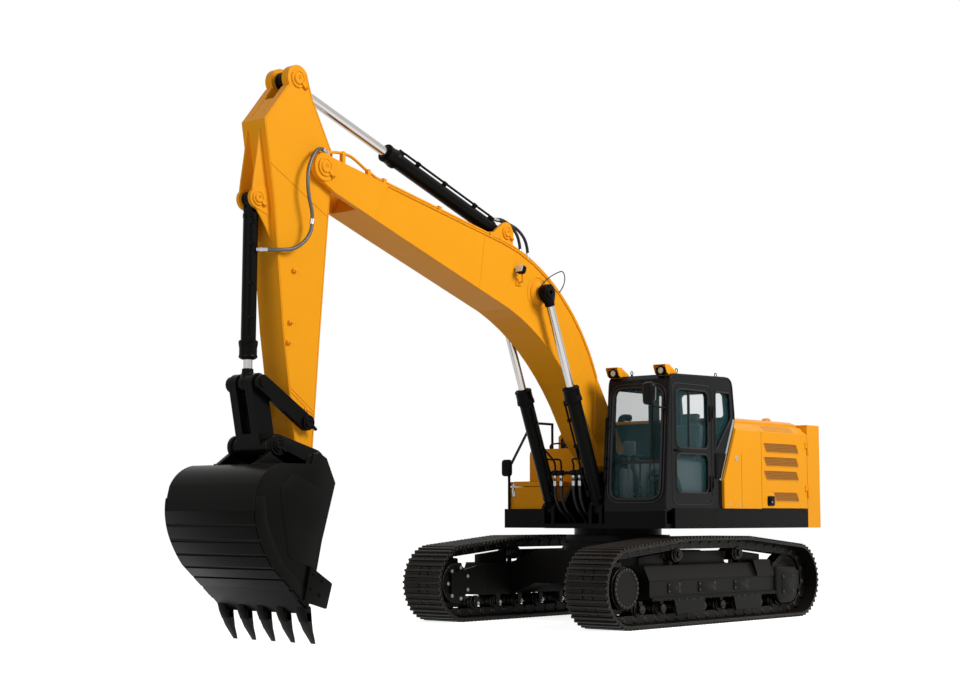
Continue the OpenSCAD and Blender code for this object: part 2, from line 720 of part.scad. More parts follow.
// Cab, side view outline from the front's foot
cab_back = cab_front - cab_len;
brow = 125;
roof_lip = 60;
rear_mid_z = 2600;
rear_low_z = 1800;
rear_in = 350;
cab_rear_mid = [cab_back, rear_mid_z];
cab_rear_low = [cab_back + rear_in, rear_low_z];
cab_outline = [[cab_front, cab_z0], [cab_front - brow, cab_top - 3 * roof_lip / 2],
    [cab_front - brow - roof_lip, cab_top - roof_lip / 2], [cab_back + 5 * roof_lip / 2, cab_top],
    [cab_back + roof_lip, cab_top - roof_lip], cab_rear_mid, cab_rear_low,
        [cab_rear_low[0] + roof_lip / 3, cab_z0]];
cab_inner = inset(cab_outline, cab_wall);
function cab_band(i, j) = concat([for (k = [i:j]) cab_outline[k]], [for (k = [j:-1:i]) cab_inner[k]]);
function front_x(z, depth) =
    along(cab_outline[0], cab_outline[1], (z - cab_z0) / (cab_outline[1][1] - cab_z0))[0] - depth;
wall_y0 = cab_y0 + cab_wall;
wall_y1 = cab_y1 - cab_wall;
screen_z0 = 1560;
screen_z1 = 2960;
screen_rim = 70;
screen_side = 24;
glass_t = 8;
corner_r = 110;
corner_steps = 5;
door_x0 = -70;
door_x1 = 840;
door_z0 = 1490;
door_z1 = 3010;
door_r = 90;
pane_edges = [95, 85];
pane_x0 = door_x0 + pane_edges[0];
pane_x1 = door_x1 - pane_edges[1];
pane_split = 2130;
pane_low = 1640;
quarter_x = -150;
quarter_z0 = 2180;
quarter_z1 = 2950;
quarter = [[quarter_x, quarter_z0], [quarter_x, quarter_z1], [cab_back + 2 * roof_lip, quarter_z1],
    [cab_back + 3 * roof_lip / 2, rear_mid_z + over]];
door_axis = [door_x0, cab_y1 + knuckle_r];
cab_hinge_zs = [1700, 2600];
module window_front(y0, y1, z0, z1, r) { polygon(rounded_box(y0, y1, z0, z1, r, corner_steps)); }
module side_pane(x0, x1, z0, z1) { polygon(rounded_box(x0, x1, z0, z1, door_r, round_steps)); }
module screen(grow) {
    beam(cab_front - brow - 2 * cab_wall, cab_front + over) window_front(wall_y0 + screen_side - grow,
        wall_y1 - screen_side + grow, screen_z0 - grow, screen_z1 + grow, corner_r + grow);
}
module cab_floor() {
    color(black) slab(wall_y0, wall_y1) polygon([cab_outline[7], cab_outline[0], cab_inner[0], cab_inner[7]]);
}
module cab_front() {
    color(black) difference() {
        slab(wall_y0, wall_y1) polygon(cab_band(0, 1));
        screen(0);
    }
}
module cab_roof() { color(black) slab(wall_y0, wall_y1) polygon(cab_band(1, 4)); }
module cab_rear_wall() {
    color(black) difference() {
        slab(wall_y0, wall_y1) polygon(cab_band(4, 7));
        beam(cab_back - over, cab_back + 4 * roof_lip)
            window_front(wall_y0 + screen_rim, wall_y1 - screen_rim,
            rear_mid_z + screen_rim / 2, screen_z1, corner_r / 2);
    }
}
module cab_right_wall() {
    color(black) difference() {
        slab(cab_y0, wall_y0) polygon(cab_outline);
        slab(cab_y0 - over, wall_y0 + over) side_pane(door_x0 + screen_rim, door_x1, pane_split, screen_z1);
        slab(cab_y0 - over, wall_y0 + over) polygon(quarter);
    }
}
module cab_left_wall() {
    color(black) {
        difference() {
            slab(wall_y1, cab_y1) polygon(cab_outline);
            slab(wall_y1 - over, cab_y1 + over) side_pane(door_x0, door_x1, door_z0, door_z1);
            slab(wall_y1 - over, cab_y1 + over) polygon(quarter);
        }
        fixed_halves(door_axis, cab_hinge_zs);
    }
}
module cab_door() {
    color(black) {
        difference() {
            slab(wall_y1, cab_y1) side_pane(door_x0 + lock_gap, door_x1 - lock_gap, door_z0 + lock_gap,
                door_z1 - lock_gap);
            slab(wall_y1 - over, cab_y1 + over) door_panes(0);
        }
        moving_halves(door_axis, cab_hinge_zs);
    }
}
module door_panes(gap) {
    side_pane(pane_x0 + gap, pane_x1 - gap, pane_split + screen_rim + gap, door_z1 - screen_rim - gap);
    side_pane(pane_x0 + gap, pane_x1 - gap, pane_low + gap, pane_split - gap);
}
module door_glass() {
    mid = cab_y1 - cab_wall / 2;
    color(glass) slab(mid - glass_t, mid) door_panes(seat_gap);
}
module cab_glass() {
    mid = cab_wall / 2;
    color(glass) {
        intersection() {
            slab(wall_y0, wall_y1) polygon([[front_x(screen_z0, mid), screen_z0],
                [front_x(screen_z1, mid), screen_z1],
                [front_x(screen_z1, mid + glass_t), screen_z1],
                    [front_x(screen_z0, mid + glass_t), screen_z0]]);
            screen(-seat_gap);
        }
        for (y = [cab_y1 - mid, cab_y0 + mid]) slab(y - glass_t, y) polygon(inset(quarter, seat_gap));
        slab(cab_y0 + mid - glass_t, cab_y0 + mid)
            side_pane(door_x0 + screen_rim + seat_gap, door_x1 - seat_gap,
            pane_split + seat_gap, screen_z1 - seat_gap);
    }
}
seat_x = 165;
seat_w = 480;
seat_z = 1950;
seat_t = 120;
seat_back_h = 720;
console_w = 130;
module cab_seat() {
    mid = mean(cab_y0, cab_y1);
    floor_z = cab_inner[0][1];
    back = seat_x - seat_w / 2;
    front = seat_x + seat_w / 2;
    color(iron) {
        slab(mid - seat_w / 2, mid + seat_w / 2) polygon([[front, seat_z], [back, seat_z - seat_t / 3],
            [back - seat_t, seat_z + seat_back_h], [back - 2 * seat_t, seat_z + seat_back_h],
            [back - seat_t, seat_z - seat_t], [front, seat_z - seat_t]]);
        block([back, mid - seat_w / 4, floor_z], [front - seat_w / 4, mid + seat_w / 4, seat_z - seat_t / 2]);
        for (s = [-1, 1]) {
            y = mid + s * (seat_w / 2 + console_w / 2 - pin_gap);
            block([back, y - console_w / 2, floor_z],
                [front + seat_w / 2, y + console_w / 2, seat_z + seat_t]);
        }
    }
}
lamp_w = 150;
lamp_h = 90;
lamp_len = 190;
module roof_lamps() {
    front = cab_outline[2] + [0, seat_gap];
    slope_share = lamp_len / (cab_outline[2][0] - cab_outline[3][0]);
    color(yellow) for (y = [wall_y0, wall_y1 - lamp_w]) slab(y, y + lamp_w)
        polygon([front, front + [0, lamp_h], front + [-lamp_len, lamp_h],
            along(front, cab_outline[3] + [0, seat_gap], slope_share)]);
}

// Left mirror on an arm from the front pillar
mirror_z = 2687;
mirror_reach = 415;
mirror_arm_r = 14;
mirror_foot = 40;
mirror_w = 180;
mirror_h = 290;
mirror_t = 95;
mirror_round = 60;
mirror_out = 90;
module left_mirror() {
    y = cab_y1 - cab_wall / 3;
    x = front_x(mirror_z, 0);
    low = mirror_z - mirror_foot;
    high = mirror_z + mirror_foot;
    head = x + mirror_reach - mirror_t / 2;
    color(black) {
        slab(y - mirror_arm_r, y + mirror_arm_r)
            polygon([[front_x(low, -seat_gap), low], [x + mirror_foot, low],
            [x + mirror_foot, high], [front_x(high, -seat_gap), high]]);
        rod([x + mirror_foot / 2, y, mirror_z], [head + mirror_t / 2, y, mirror_z + mirror_foot],
            mirror_arm_r);
        beam(head, head + mirror_t) polygon(rounded_box(cab_y1 + mirror_out - mirror_w, cab_y1 + mirror_out,
            mirror_z + mirror_foot / 4, mirror_z + mirror_foot / 4 + mirror_h, mirror_round, round_steps));
    }
}

// Boom, drawn in shares of its length along and above the chord
bend_steps = 8;
boom_crown_share = [0.3391, 0.2371];
crown_reach_share = 0.22;
boom_nose_share = [0.945, 0.042];
boom_back_share = [0.19, 0.1185];
boom_foot_share = [0.115, -0.0150];
boom_low_share = [0.795, 0.0064];
crown_arc_share = corner_arc(boom_nose_share, boom_crown_share, boom_back_share, crown_reach_share);
top_shares = arc_points(crown_arc_share, bend_steps);
low_shares = bend([0.19, 0.0236], [0.33, 0.086], [0.47, 0.0672], bend_steps);
boom_shares = concat([[-0.004, -0.019], [0.045, -0.034], boom_foot_share], low_shares,
    [boom_low_share, [0.955, -0.0225], [0.995, -0.024], [1.003, 0.024], [0.985, 0.029], boom_nose_share],
        top_shares,
    [[0.02, 0.022], [-0.006, 0.017]]);
hollow_shares = concat([boom_foot_share], low_shares, [boom_low_share, [0.86, -0.0054], [0.86, 0.0694]],
    top_shares);
fork_share = 0.895;
fork_depth_share = 0.2;
fork_shares = [[fork_share, -fork_depth_share], [1 + fork_depth_share, -fork_depth_share],
    [1 + fork_depth_share, fork_depth_share], [fork_share, fork_depth_share]];
nose_step_share = 0.02;
nose_shares = [for (p = fork_shares) p[0] < 1 ? p - [nose_step_share, 0] : p];
function in_boom(shares) = [for (p = shares) boom_at(p)];
boom_hollow = inset(in_boom(hollow_shares), boom_wall);
boom_half = boom_w / 2;
flange_lip = 12;
tip_boss_r = 155;
fork_in_y = arm_w / 2 + swing_gap;
cone_r0 = 150;
cone_r1 = 105;
cone_h = 40;
arm_eye_in = 80;
foot_ear_in = arm_barrel_r + swing_gap;
arm_foot_ear = 130;
ear_root_share = 0.05;
ear_plate = 45;
module boom() {
    cheek = boom_half - flange_lip - boom_wall;
    ear_root = boom_at(arm_foot_share - [0, ear_root_share]);
    color(yellow) {
        difference() {
            union() {
                slab(-boom_half, boom_half) difference() {
                    polygon(in_boom(boom_shares));
                    polygon(in_boom(fork_shares));
                }
                both() {
                    slab(fork_in_y, boom_half) intersection() {
                        polygon(in_boom(boom_shares));
                        polygon(in_boom(nose_shares));
                    }
                    slab(foot_ear_in, foot_ear_in + ear_plate)
                        link_shape(arm_foot, arm_foot_ear, ear_root, 2 * arm_foot_ear);
                }
                bar(foot, foot_boss_r - ear_plate, -boom_half - cap_t, boom_half + cap_t);
            }
            bar(foot, big_pin_r + pin_gap, -boom_w, boom_w);
            slab(-cheek, cheek) polygon(boom_hollow);
            both() slab(boom_half - flange_lip, boom_half + over) polygon(boom_hollow);
        }
        both() {
            bar(tip, tip_boss_r, fork_in_y, boom_half + cap_t);
            translate([boom_eye[0], cheek, boom_eye[1]]) rotate([-90, 0, 0])
                cylinder(r = cone_r0, h = boom_half - cheek);
            translate([boom_eye[0], boom_half, boom_eye[1]]) rotate([-90, 0, 0])
                cylinder(r1 = cone_r0, r2 = cone_r1, h = cone_h);
        }
        bar(tip, big_pin_r, -boom_half - 2 * cap_t, boom_half + 2 * cap_t);
        bar(arm_foot, pin_r, -foot_ear_in - ear_plate, foot_ear_in + ear_plate);
        both() bar(arm_foot, base_eye_r, arm_eye_in, foot_ear_in);
    }
}
// Pipes that follow the boom's crown and run on to its nose, held by clamps
pipe_r = 17;
pipe_lift = 10;
pipe_y_shares = [0.7, 0.86];
sleeve_half = 45;
sleeve_grow = 7;
pipe_nose_share = 0.35;
clamp_shares = [0.03, 0.18, 0.33];
clamp_len = 50;
module boom_pipes() {
    centre = boom_at(crown_arc_share[0]);
    r = crown_arc_share[1] * boom_len + pipe_lift + pipe_r;
    a0 = boom_deg + crown_arc_share[2];
    start = centre + polar(r, a0);
    nose = start + polar(pipe_nose_share * boom_len, a0 - 90);
    color(yellow) both() {
        for (k = pipe_y_shares) {
            y = k * boom_half;
            before = start + polar(sleeve_half, a0 + 90);
            middle = start + polar(sleeve_half / 2, a0 - 90);
            after = start + polar(sleeve_half, a0 - 90);
            rod([middle[0], y, middle[1]], [nose[0], y, nose[1]], pipe_r);
            rod([before[0], y, before[1]], [after[0], y, after[1]], pipe_r + sleeve_grow);
            translate([centre[0], y, centre[1]]) rotate([90, 0, 0]) rotate([0, 0, a0])
                rotate_extrude(angle = crown_arc_share[3]) translate([r, 0]) circle(r = pipe_r);
        }
        for (k = clamp_shares) {
            a = start + polar(k * boom_len, a0 - 90);
            b = a + polar(clamp_len, a0 - 90);
            down = polar(pipe_lift + pipe_r - seat_gap, a0 + 180);
            up = polar(pipe_r + pipe_lift, a0);
            slab(pipe_y_shares[0] * boom_half - 2 * pipe_r, pipe_y_shares[1] * boom_half + 2 * pipe_r)
                polygon([a + down, b + down, b + up, a + up]);
        }
    }
}

// Arm, drawn in shares of its length along and in front of its line
arm_shares = [[0.955, -0.034], [1.0, -0.02], [1.0, 0.03], [0.935, 0.047], [0.57, 0.127], [0.149, 0.198],
    [-0.11, 0.259], [-0.245, 0.165], [-0.31, 0.085], [-0.225, 0.05], [-0.06, -0.055], [0.04, -0.055],
        [0.58, -0.0402]];
arm_hollow_shares = [[0.86, -0.036], [0.86, 0.0], [0.83, 0.045], [0.57, 0.112], [0.155, 0.183], [-0.09, 0.24],
    [-0.09, 0.075], [0.08, 0.065], [0.08, -0.045], [0.57, -0.032]];
slot_shares = [[-0.125, -0.3], [-0.125, 0.4], [-0.6, 0.4], [-0.6, -0.3]];
foot_root_share = 0.12;
arm_boss_r = 190;
arm_end_r = 125;
arm_boss_end_r = 88;
arm_ear_r = 150;
foot_ear_r = 110;
foot_ear_t = 42;
function in_arm(shares) = [for (p = shares) arm_at(p)];
module arm() {
    half = arm_w / 2;
    foot_root = arm_at([bucket_foot_share[0], foot_root_share]);
    color(yellow) difference() {
        union() {
            slab(-half, half) {
                polygon(in_arm(arm_shares));
                translate(tip) circle(r = arm_boss_r);
                translate(arm_eye) circle(r = arm_ear_r);
            }
            bar(knee, arm_end_r, -half, half);
            bar(knee, arm_boss_end_r, swing_gap - ear_in, ear_in - swing_gap);
            both() {
                slab(fork_in, fork_in + foot_ear_t) link_shape(bucket_foot, foot_ear_r, foot_root,
                    2 * foot_ear_r);
                bar(rocker_foot, pin_r, half - over, rocker_in + rocker_t + cap_t);
                bar(rocker_foot, pin_r + cap_t, rocker_in + rocker_t + pin_gap,
                    rocker_in + rocker_t + swing_gap);
            }
            bar(bucket_foot, pin_r, -fork_in - foot_ear_t, fork_in + foot_ear_t);
        }
        slab(-arm_eye_in - seat_gap, arm_eye_in + seat_gap) polygon(in_arm(slot_shares));
        slab(arm_wall - half, half - arm_wall) polygon(in_arm(arm_hollow_shares));
        bar(tip, big_pin_r + pin_gap, -arm_w, arm_w);
        bar(knee, pin_r + pin_gap, -bucket_w, bucket_w);
    }
}

// Bucket, drawn in shares of its tip radius along the tip line and behind it
heel_steps = 7;
back_steps = 4;
back_shares = [[0.03, 0.20], [0.045, 0.31], [0.06, 0.43]];
shell_shares = concat([[0.816, 0.113]], bend([0.62, 0.41], [0.45, 0.59], [0.27, 0.583], heel_steps),
    bend([0.20, 0.575], [0.10, 0.54], back_shares[2], back_steps), [back_shares[0]]);
side_shares = concat(shell_shares, [[-0.03, 0.19], [-0.042, 0.15], [-0.02, 0.09], [0.107, 0.004],
    [0.44, 0.062],
    [0.61, 0.079]]);
function in_bucket(shares) = [for (p = shares) bucket_at(p)];
shell = in_bucket(shell_shares);
shell_band = concat(shell, reversed(shifted(shell, shell_t)));
ear_r = 120;
strip_t = 12;
strip_in = 40;
strip_share = 0.82;
// Strip on the outside of the shell between two of its corners
function strip(i) = let (a = along(shell[i], shell[i + 1], 1 - strip_share),
    b = along(shell[i], shell[i + 1], strip_share))
    concat(shifted([a, b], shell_t / 2), reversed(shifted([a, b], -strip_t)));
module bucket() {
    half = bucket_w / 2;
    color(black) {
        slab(side_t - half, half - side_t) polygon(shell_band);
        slab(side_t + strip_in - half, half - side_t - strip_in) for (i = [1:heel_steps]) polygon(strip(i));
        both() {
            slab(half - side_t, half) polygon(in_bucket(side_shares));
            slab(ear_in, ear_in + ear_t) {
                link_shape(knee, arm_end_r + ear_plate, ear, ear_r);
                polygon(concat([knee], in_bucket(back_shares), [ear]));
            }
        }
        for (p = [knee, ear]) bar(p, pin_r, -ear_in - ear_t - cap_t, ear_in + ear_t + cap_t);
    }
}
tooth_shares = [[0.80, 0.075], [0.86, 0.060], [1.0, -0.004], [1.0, 0.006], [0.90, 0.098], [0.79, 0.150]];
cutter_shares = [[0.606, 0.085], [0.662, -0.033], [0.805, -0.009], [0.79, 0.105]];
cutter_t = 36;
// Widths of a tooth at its neck and tip, as shares of its adapter's, and where the neck lies
tooth_neck_share = 0.86;
tooth_tip_share = 0.5;
neck_at_share = 0.87;
module tooth_plan(y) {
    neck = tip_r * neck_at_share;
    wide = tooth_w / 2 + over;
    slim = tooth_w / 2 * tooth_neck_share;
    tip = tooth_w / 2 * tooth_tip_share;
    translate([knee[0], y, knee[1]]) rotate([0, -bucket_a, 0]) translate([0, 0, -tip_r])
        linear_extrude(2 * tip_r)
        polygon([[0, -wide], [neck, -wide], [neck, -slim], [tip_r + over, -tip], [tip_r + over, tip],
            [neck, slim],
            [neck, wide], [0, wide]]);
}
module bucket_teeth() {
    half = bucket_w / 2;
    pitch = (bucket_w - 2 * side_t - 2 * seat_gap - tooth_w) / (tooth_count - 1);
    color(black) {
        for (i = [0:tooth_count - 1]) {
            y = (i - (tooth_count - 1) / 2) * pitch;
            difference() {
                intersection() {
                    slab(y - tooth_w / 2, y + tooth_w / 2) polygon(in_bucket(tooth_shares));
                    tooth_plan(y);
                }
                slab(side_t - half, half - side_t) polygon(shell_band);
            }
        }
        both() slab(half, half + cutter_t) polygon(in_bucket(cutter_shares));
    }
}
rocker_r = 84;
module rockers() {
    color(black) both() difference() {
        union() {
            slab(rocker_in, rocker_in + rocker_t) link_shape(rocker_foot, rocker_r, top_pin, rocker_r);
            bar(top_pin, pin_r, rocker_in + rocker_t, rocker_in + rocker_t + cap_t);
        }
        bar(rocker_foot, pin_r + pin_gap, 0, ear_in);
    }
}
link_half = rocker_in - swing_gap;
link_r = 105;
link_slot_share = 0.62;
slot_r_share = 1.4;
module bucket_link() {
    color(black) difference() {
        union() {
            slab(-link_half, link_half) link_shape(top_pin, link_r, ear, link_r);
            bar(ear, link_r, swing_gap - ear_in, ear_in - swing_gap);
        }
        slab(-fork_in, fork_in) link_shape(2 * top_pin - ear, 2 * link_r,
            along(top_pin, ear, link_slot_share),
            slot_r_share * link_r);
        bar(ear, pin_r + pin_gap, -bucket_w, bucket_w);
    }
}

// Cylinders: a barrel on its base eye and a rod that slides out of its gland
gland_len = 150;
gland_grow = 14;
barrel_wall = 16;
barrel_end = 45;
neck_len = 150;
neck_share = 0.9;
// Frame with its first axis from p to q
module aim(p, q, y) { translate([p[0], y, p[1]]) rotate([0, 90 - heading(p, q), 0]) children(); }
module barrel(p, q, y, r, length, rod_r, half, eye_r) {
    inside = length - neck_len - barrel_end - gland_len;
    ahead = unit(q - p);
    side = [-ahead[1], ahead[0]] * neck_share * sqrt(r * r - half * half);
    root = p + ahead * (neck_len + barrel_end / 2);
    difference() {
        union() {
            aim(p, q, y) {
                translate([0, 0, neck_len]) cylinder(r = r, h = length - neck_len);
                translate([0, 0, length - gland_len]) cylinder(r = r + gland_grow, h = gland_len);
            }
            slab(y - half, y + half) {
                translate(p) circle(r = eye_r);
                polygon([p + side, p - side, root - side, root + side]);
            }
        }
        aim(p, q, y) {
            translate([0, 0, neck_len + barrel_end]) cylinder(r = r - barrel_wall, h = inside);
            translate([0, 0, length - gland_len - over])
                cylinder(r = rod_r + pin_gap, h = gland_len + 2 * over);
        }
        bar(p, pin_r + pin_gap, y - 2 * half, y + 2 * half);
    }
}
eye_neck_shares = [0.75, 0.6];
module piston_rod(p, q, y, length, rod_r, rod_in, half, eye_r) {
    color(steel) aim(q, p, y) cylinder(r = rod_r, h = norm(q - p) - length + rod_in);
    color(black) slab(y - half, y + half) link_shape(q, eye_r, q + unit(p - q) * eye_r * eye_neck_shares[0],
        eye_r * eye_neck_shares[1]);
}
boom_rod_r = 50;
arm_rod_r = 56;
bucket_rod_r = 48;
boom_rod_in = 670;
arm_rod_in = 420;
rod_bottom = 145;
bucket_barrel_len = norm(top_pin - bucket_foot) - bucket_rod_out;
bucket_rod_in = bucket_barrel_len - neck_len - barrel_end - rod_bottom;
base_eye_r = 85;
rod_eye_r = 105;
bucket_eye_r = 80;
link_eye_r = 90;
eye_cap_r = 74;
arm_eye_half = arm_eye_in - swing_gap;
tie_at = 520;
tie_r = 24;
module boom_barrels() {
    tie_half = boom_cyl_y - boom_barrel_r + barrel_wall / 2;
    color(black) {
        for (y = [-boom_cyl_y, boom_cyl_y])
            barrel(boom_base, boom_eye, y, boom_barrel_r, boom_barrel_len, boom_rod_r, base_eye_half,
                base_eye_r);
        bar(boom_base + unit(boom_eye - boom_base) * tie_at, tie_r, -tie_half, tie_half);
    }
}
module boom_rods() {
    cap_half = base_eye_half + cap_t;
    for (y = [-boom_cyl_y, boom_cyl_y]) {
        piston_rod(boom_base, boom_eye, y, boom_barrel_len, boom_rod_r, boom_rod_in, base_eye_half,
            rod_eye_r);
        color(black) bar(boom_eye, eye_cap_r, y - cap_half, y + cap_half);
    }
}
module arm_barrel() {
    color(black) barrel(arm_foot, arm_eye, 0, arm_barrel_r, arm_barrel_len, arm_rod_r, arm_eye_half,
        base_eye_r);
}
module arm_rod() {
    piston_rod(arm_foot, arm_eye, 0, arm_barrel_len, arm_rod_r, arm_rod_in, arm_eye_half, rod_eye_r);
}
module bucket_barrel() {
    color(black)
        barrel(bucket_foot, top_pin, 0, bucket_barrel_r, bucket_barrel_len, bucket_rod_r, eye_half,
            bucket_eye_r);
}
module bucket_rod() {
    piston_rod(bucket_foot, top_pin, 0, bucket_barrel_len, bucket_rod_r, bucket_rod_in, eye_half, link_eye_r);
}

car_body();
slew_ring();
track_frames();
track_left();
track_right();
sprockets();
idlers();
rollers();
upper_frame();
counterweight();
engine_hood();
left_panel();
left_door();
right_panel();
right_door();
fuel_tank();
toolbox();
toolbox_lid();
engine();
handrails();
cab_floor();
cab_front();
cab_right_wall();
cab_rear_wall();
cab_left_wall();
cab_roof();
cab_door();
cab_glass();
door_glass();
cab_seat();
roof_lamps();
left_mirror();
boom();
boom_pipes();
arm();
bucket();
bucket_teeth();
rockers();
bucket_link();
boom_barrels();
boom_rods();
arm_barrel();
arm_rod();
bucket_barrel();
bucket_rod();
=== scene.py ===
"""Looks of a crawler excavator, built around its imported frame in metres."""

import json
import logging
import math
from dataclasses import dataclass, field
from enum import Enum

import bmesh
import bpy
import numpy as np
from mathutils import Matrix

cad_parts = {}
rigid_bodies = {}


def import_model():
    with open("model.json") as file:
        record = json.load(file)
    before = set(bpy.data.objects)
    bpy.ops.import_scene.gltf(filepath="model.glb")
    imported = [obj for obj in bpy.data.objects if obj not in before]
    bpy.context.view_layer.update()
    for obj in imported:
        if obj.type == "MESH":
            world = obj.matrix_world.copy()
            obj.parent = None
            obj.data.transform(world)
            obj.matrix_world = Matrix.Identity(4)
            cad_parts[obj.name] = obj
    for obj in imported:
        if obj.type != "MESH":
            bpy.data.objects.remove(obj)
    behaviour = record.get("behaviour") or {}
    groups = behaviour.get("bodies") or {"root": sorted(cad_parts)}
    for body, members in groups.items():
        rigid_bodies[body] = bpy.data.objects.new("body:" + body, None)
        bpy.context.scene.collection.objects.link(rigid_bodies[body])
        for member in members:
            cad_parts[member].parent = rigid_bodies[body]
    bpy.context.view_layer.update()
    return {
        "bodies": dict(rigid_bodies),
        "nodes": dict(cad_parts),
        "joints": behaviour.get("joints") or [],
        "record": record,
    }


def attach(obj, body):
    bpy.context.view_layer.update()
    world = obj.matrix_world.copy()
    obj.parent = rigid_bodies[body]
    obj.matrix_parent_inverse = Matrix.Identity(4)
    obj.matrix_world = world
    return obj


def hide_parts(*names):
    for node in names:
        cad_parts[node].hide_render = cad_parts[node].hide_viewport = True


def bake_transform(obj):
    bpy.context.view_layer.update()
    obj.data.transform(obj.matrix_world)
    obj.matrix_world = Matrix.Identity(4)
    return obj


LOG = logging.getLogger("excavator")
MM = 0.001
Array = np.ndarray
X, Y, Z = np.eye(3)
WHITE = (1.0, 1.0, 1.0, 1.0)
# Least divisor of a mitred corner, and the most of an edge that one rounded corner takes
MITRE_LEAST = 0.3
CORNER_SHARE = 0.45
# A weld bead has this many points in each ripple, and swells by this share of its radius
BEAD_POINTS = 3
BEAD_SWELL = 0.2
# Lie of the bucket and of its cylinder at rest
BUCKET_HEADING_DEG = -82.5
BUCKET_LENGTH = 1.862
BUCKET_CYLINDER_LENGTH = 1.961
BUCKET_CYLINDER_AHEAD = (0.008366, -0.999965)


class Slot(Enum):
    """Material slots that the record names."""

    YELLOW = "yellow_paint"
    BLACK = "black_paint"
    TRACK = "track_steel"
    FRAME = "frame_paint"
    IRON = "engine_iron"
    GLASS = "cab_glass"
    VINYL = "seat_vinyl"
    CHROME = "rod_chrome"


class Side(Enum):
    """Sides of the machine, by the sign of their place across it."""

    LEFT = 1
    RIGHT = -1

    @property
    def label(self) -> str:
        """Name of the side, as the names of its pieces end."""
        return self.name.lower()


def linear(hex_code: str) -> tuple[float, float, float, float]:
    """Turn an sRGB hex colour into linear light.

    Args:
        hex_code: colour such as "#f0a21e".

    Returns:
        Linear red, green, blue and an alpha of one.
    """
    srgb = np.array([int(hex_code[i:i + 2], 16) for i in (1, 3, 5)]) / 255.0
    light = np.where(srgb <= 0.04045, srgb / 12.92, ((srgb + 0.055) / 1.055) ** 2.4)
    return (*light.tolist(), 1.0)


def feed(tree: bpy.types.NodeTree, node: bpy.types.Node, settings: dict | None = None,
         links: dict | None = None) -> None:
    """Set a node's sockets and properties, and link its inputs.

    Args:
        tree: node tree that holds the node.
        node: node to set.
        settings: values by property name, or by socket name or number.
        links: output sockets by the name or number of the input that they feed.
    """
    for key, value in (settings or {}).items():
        if isinstance(key, str) and key not in node.inputs:
            setattr(node, key, value)
        else:
            node.inputs[key].default_value = value
    for key, source in (links or {}).items():
        tree.links.new(source, node.inputs[key])


def add_node(tree: bpy.types.NodeTree, kind: str, settings: dict | None = None,
             links: dict | None = None) -> bpy.types.Node:
    """Add a node, set and linked as in feed.

    Args:
        tree: node tree that takes the node.
        kind: Blender's type name of the node.
        settings: values, as in feed.
        links: output sockets, as in feed.

    Returns:
        The new node.
    """
    node = tree.nodes.new(kind)
    feed(tree, node, settings, links)
    return node


def blank_material(name: str, colour: str) -> tuple[bpy.types.Material, bpy.types.NodeSocket]:
    """Start a node material.

    Args:
        name: name of the material.
        colour: hex colour that it has in a plain viewport.

    Returns:
        The material and the socket of its object coordinates.
    """
    made = bpy.data.materials.new(name)
    made.use_nodes = True
    made.diffuse_color = linear(colour)
    return made, add_node(made.node_tree, "ShaderNodeTexCoord").outputs["Object"]


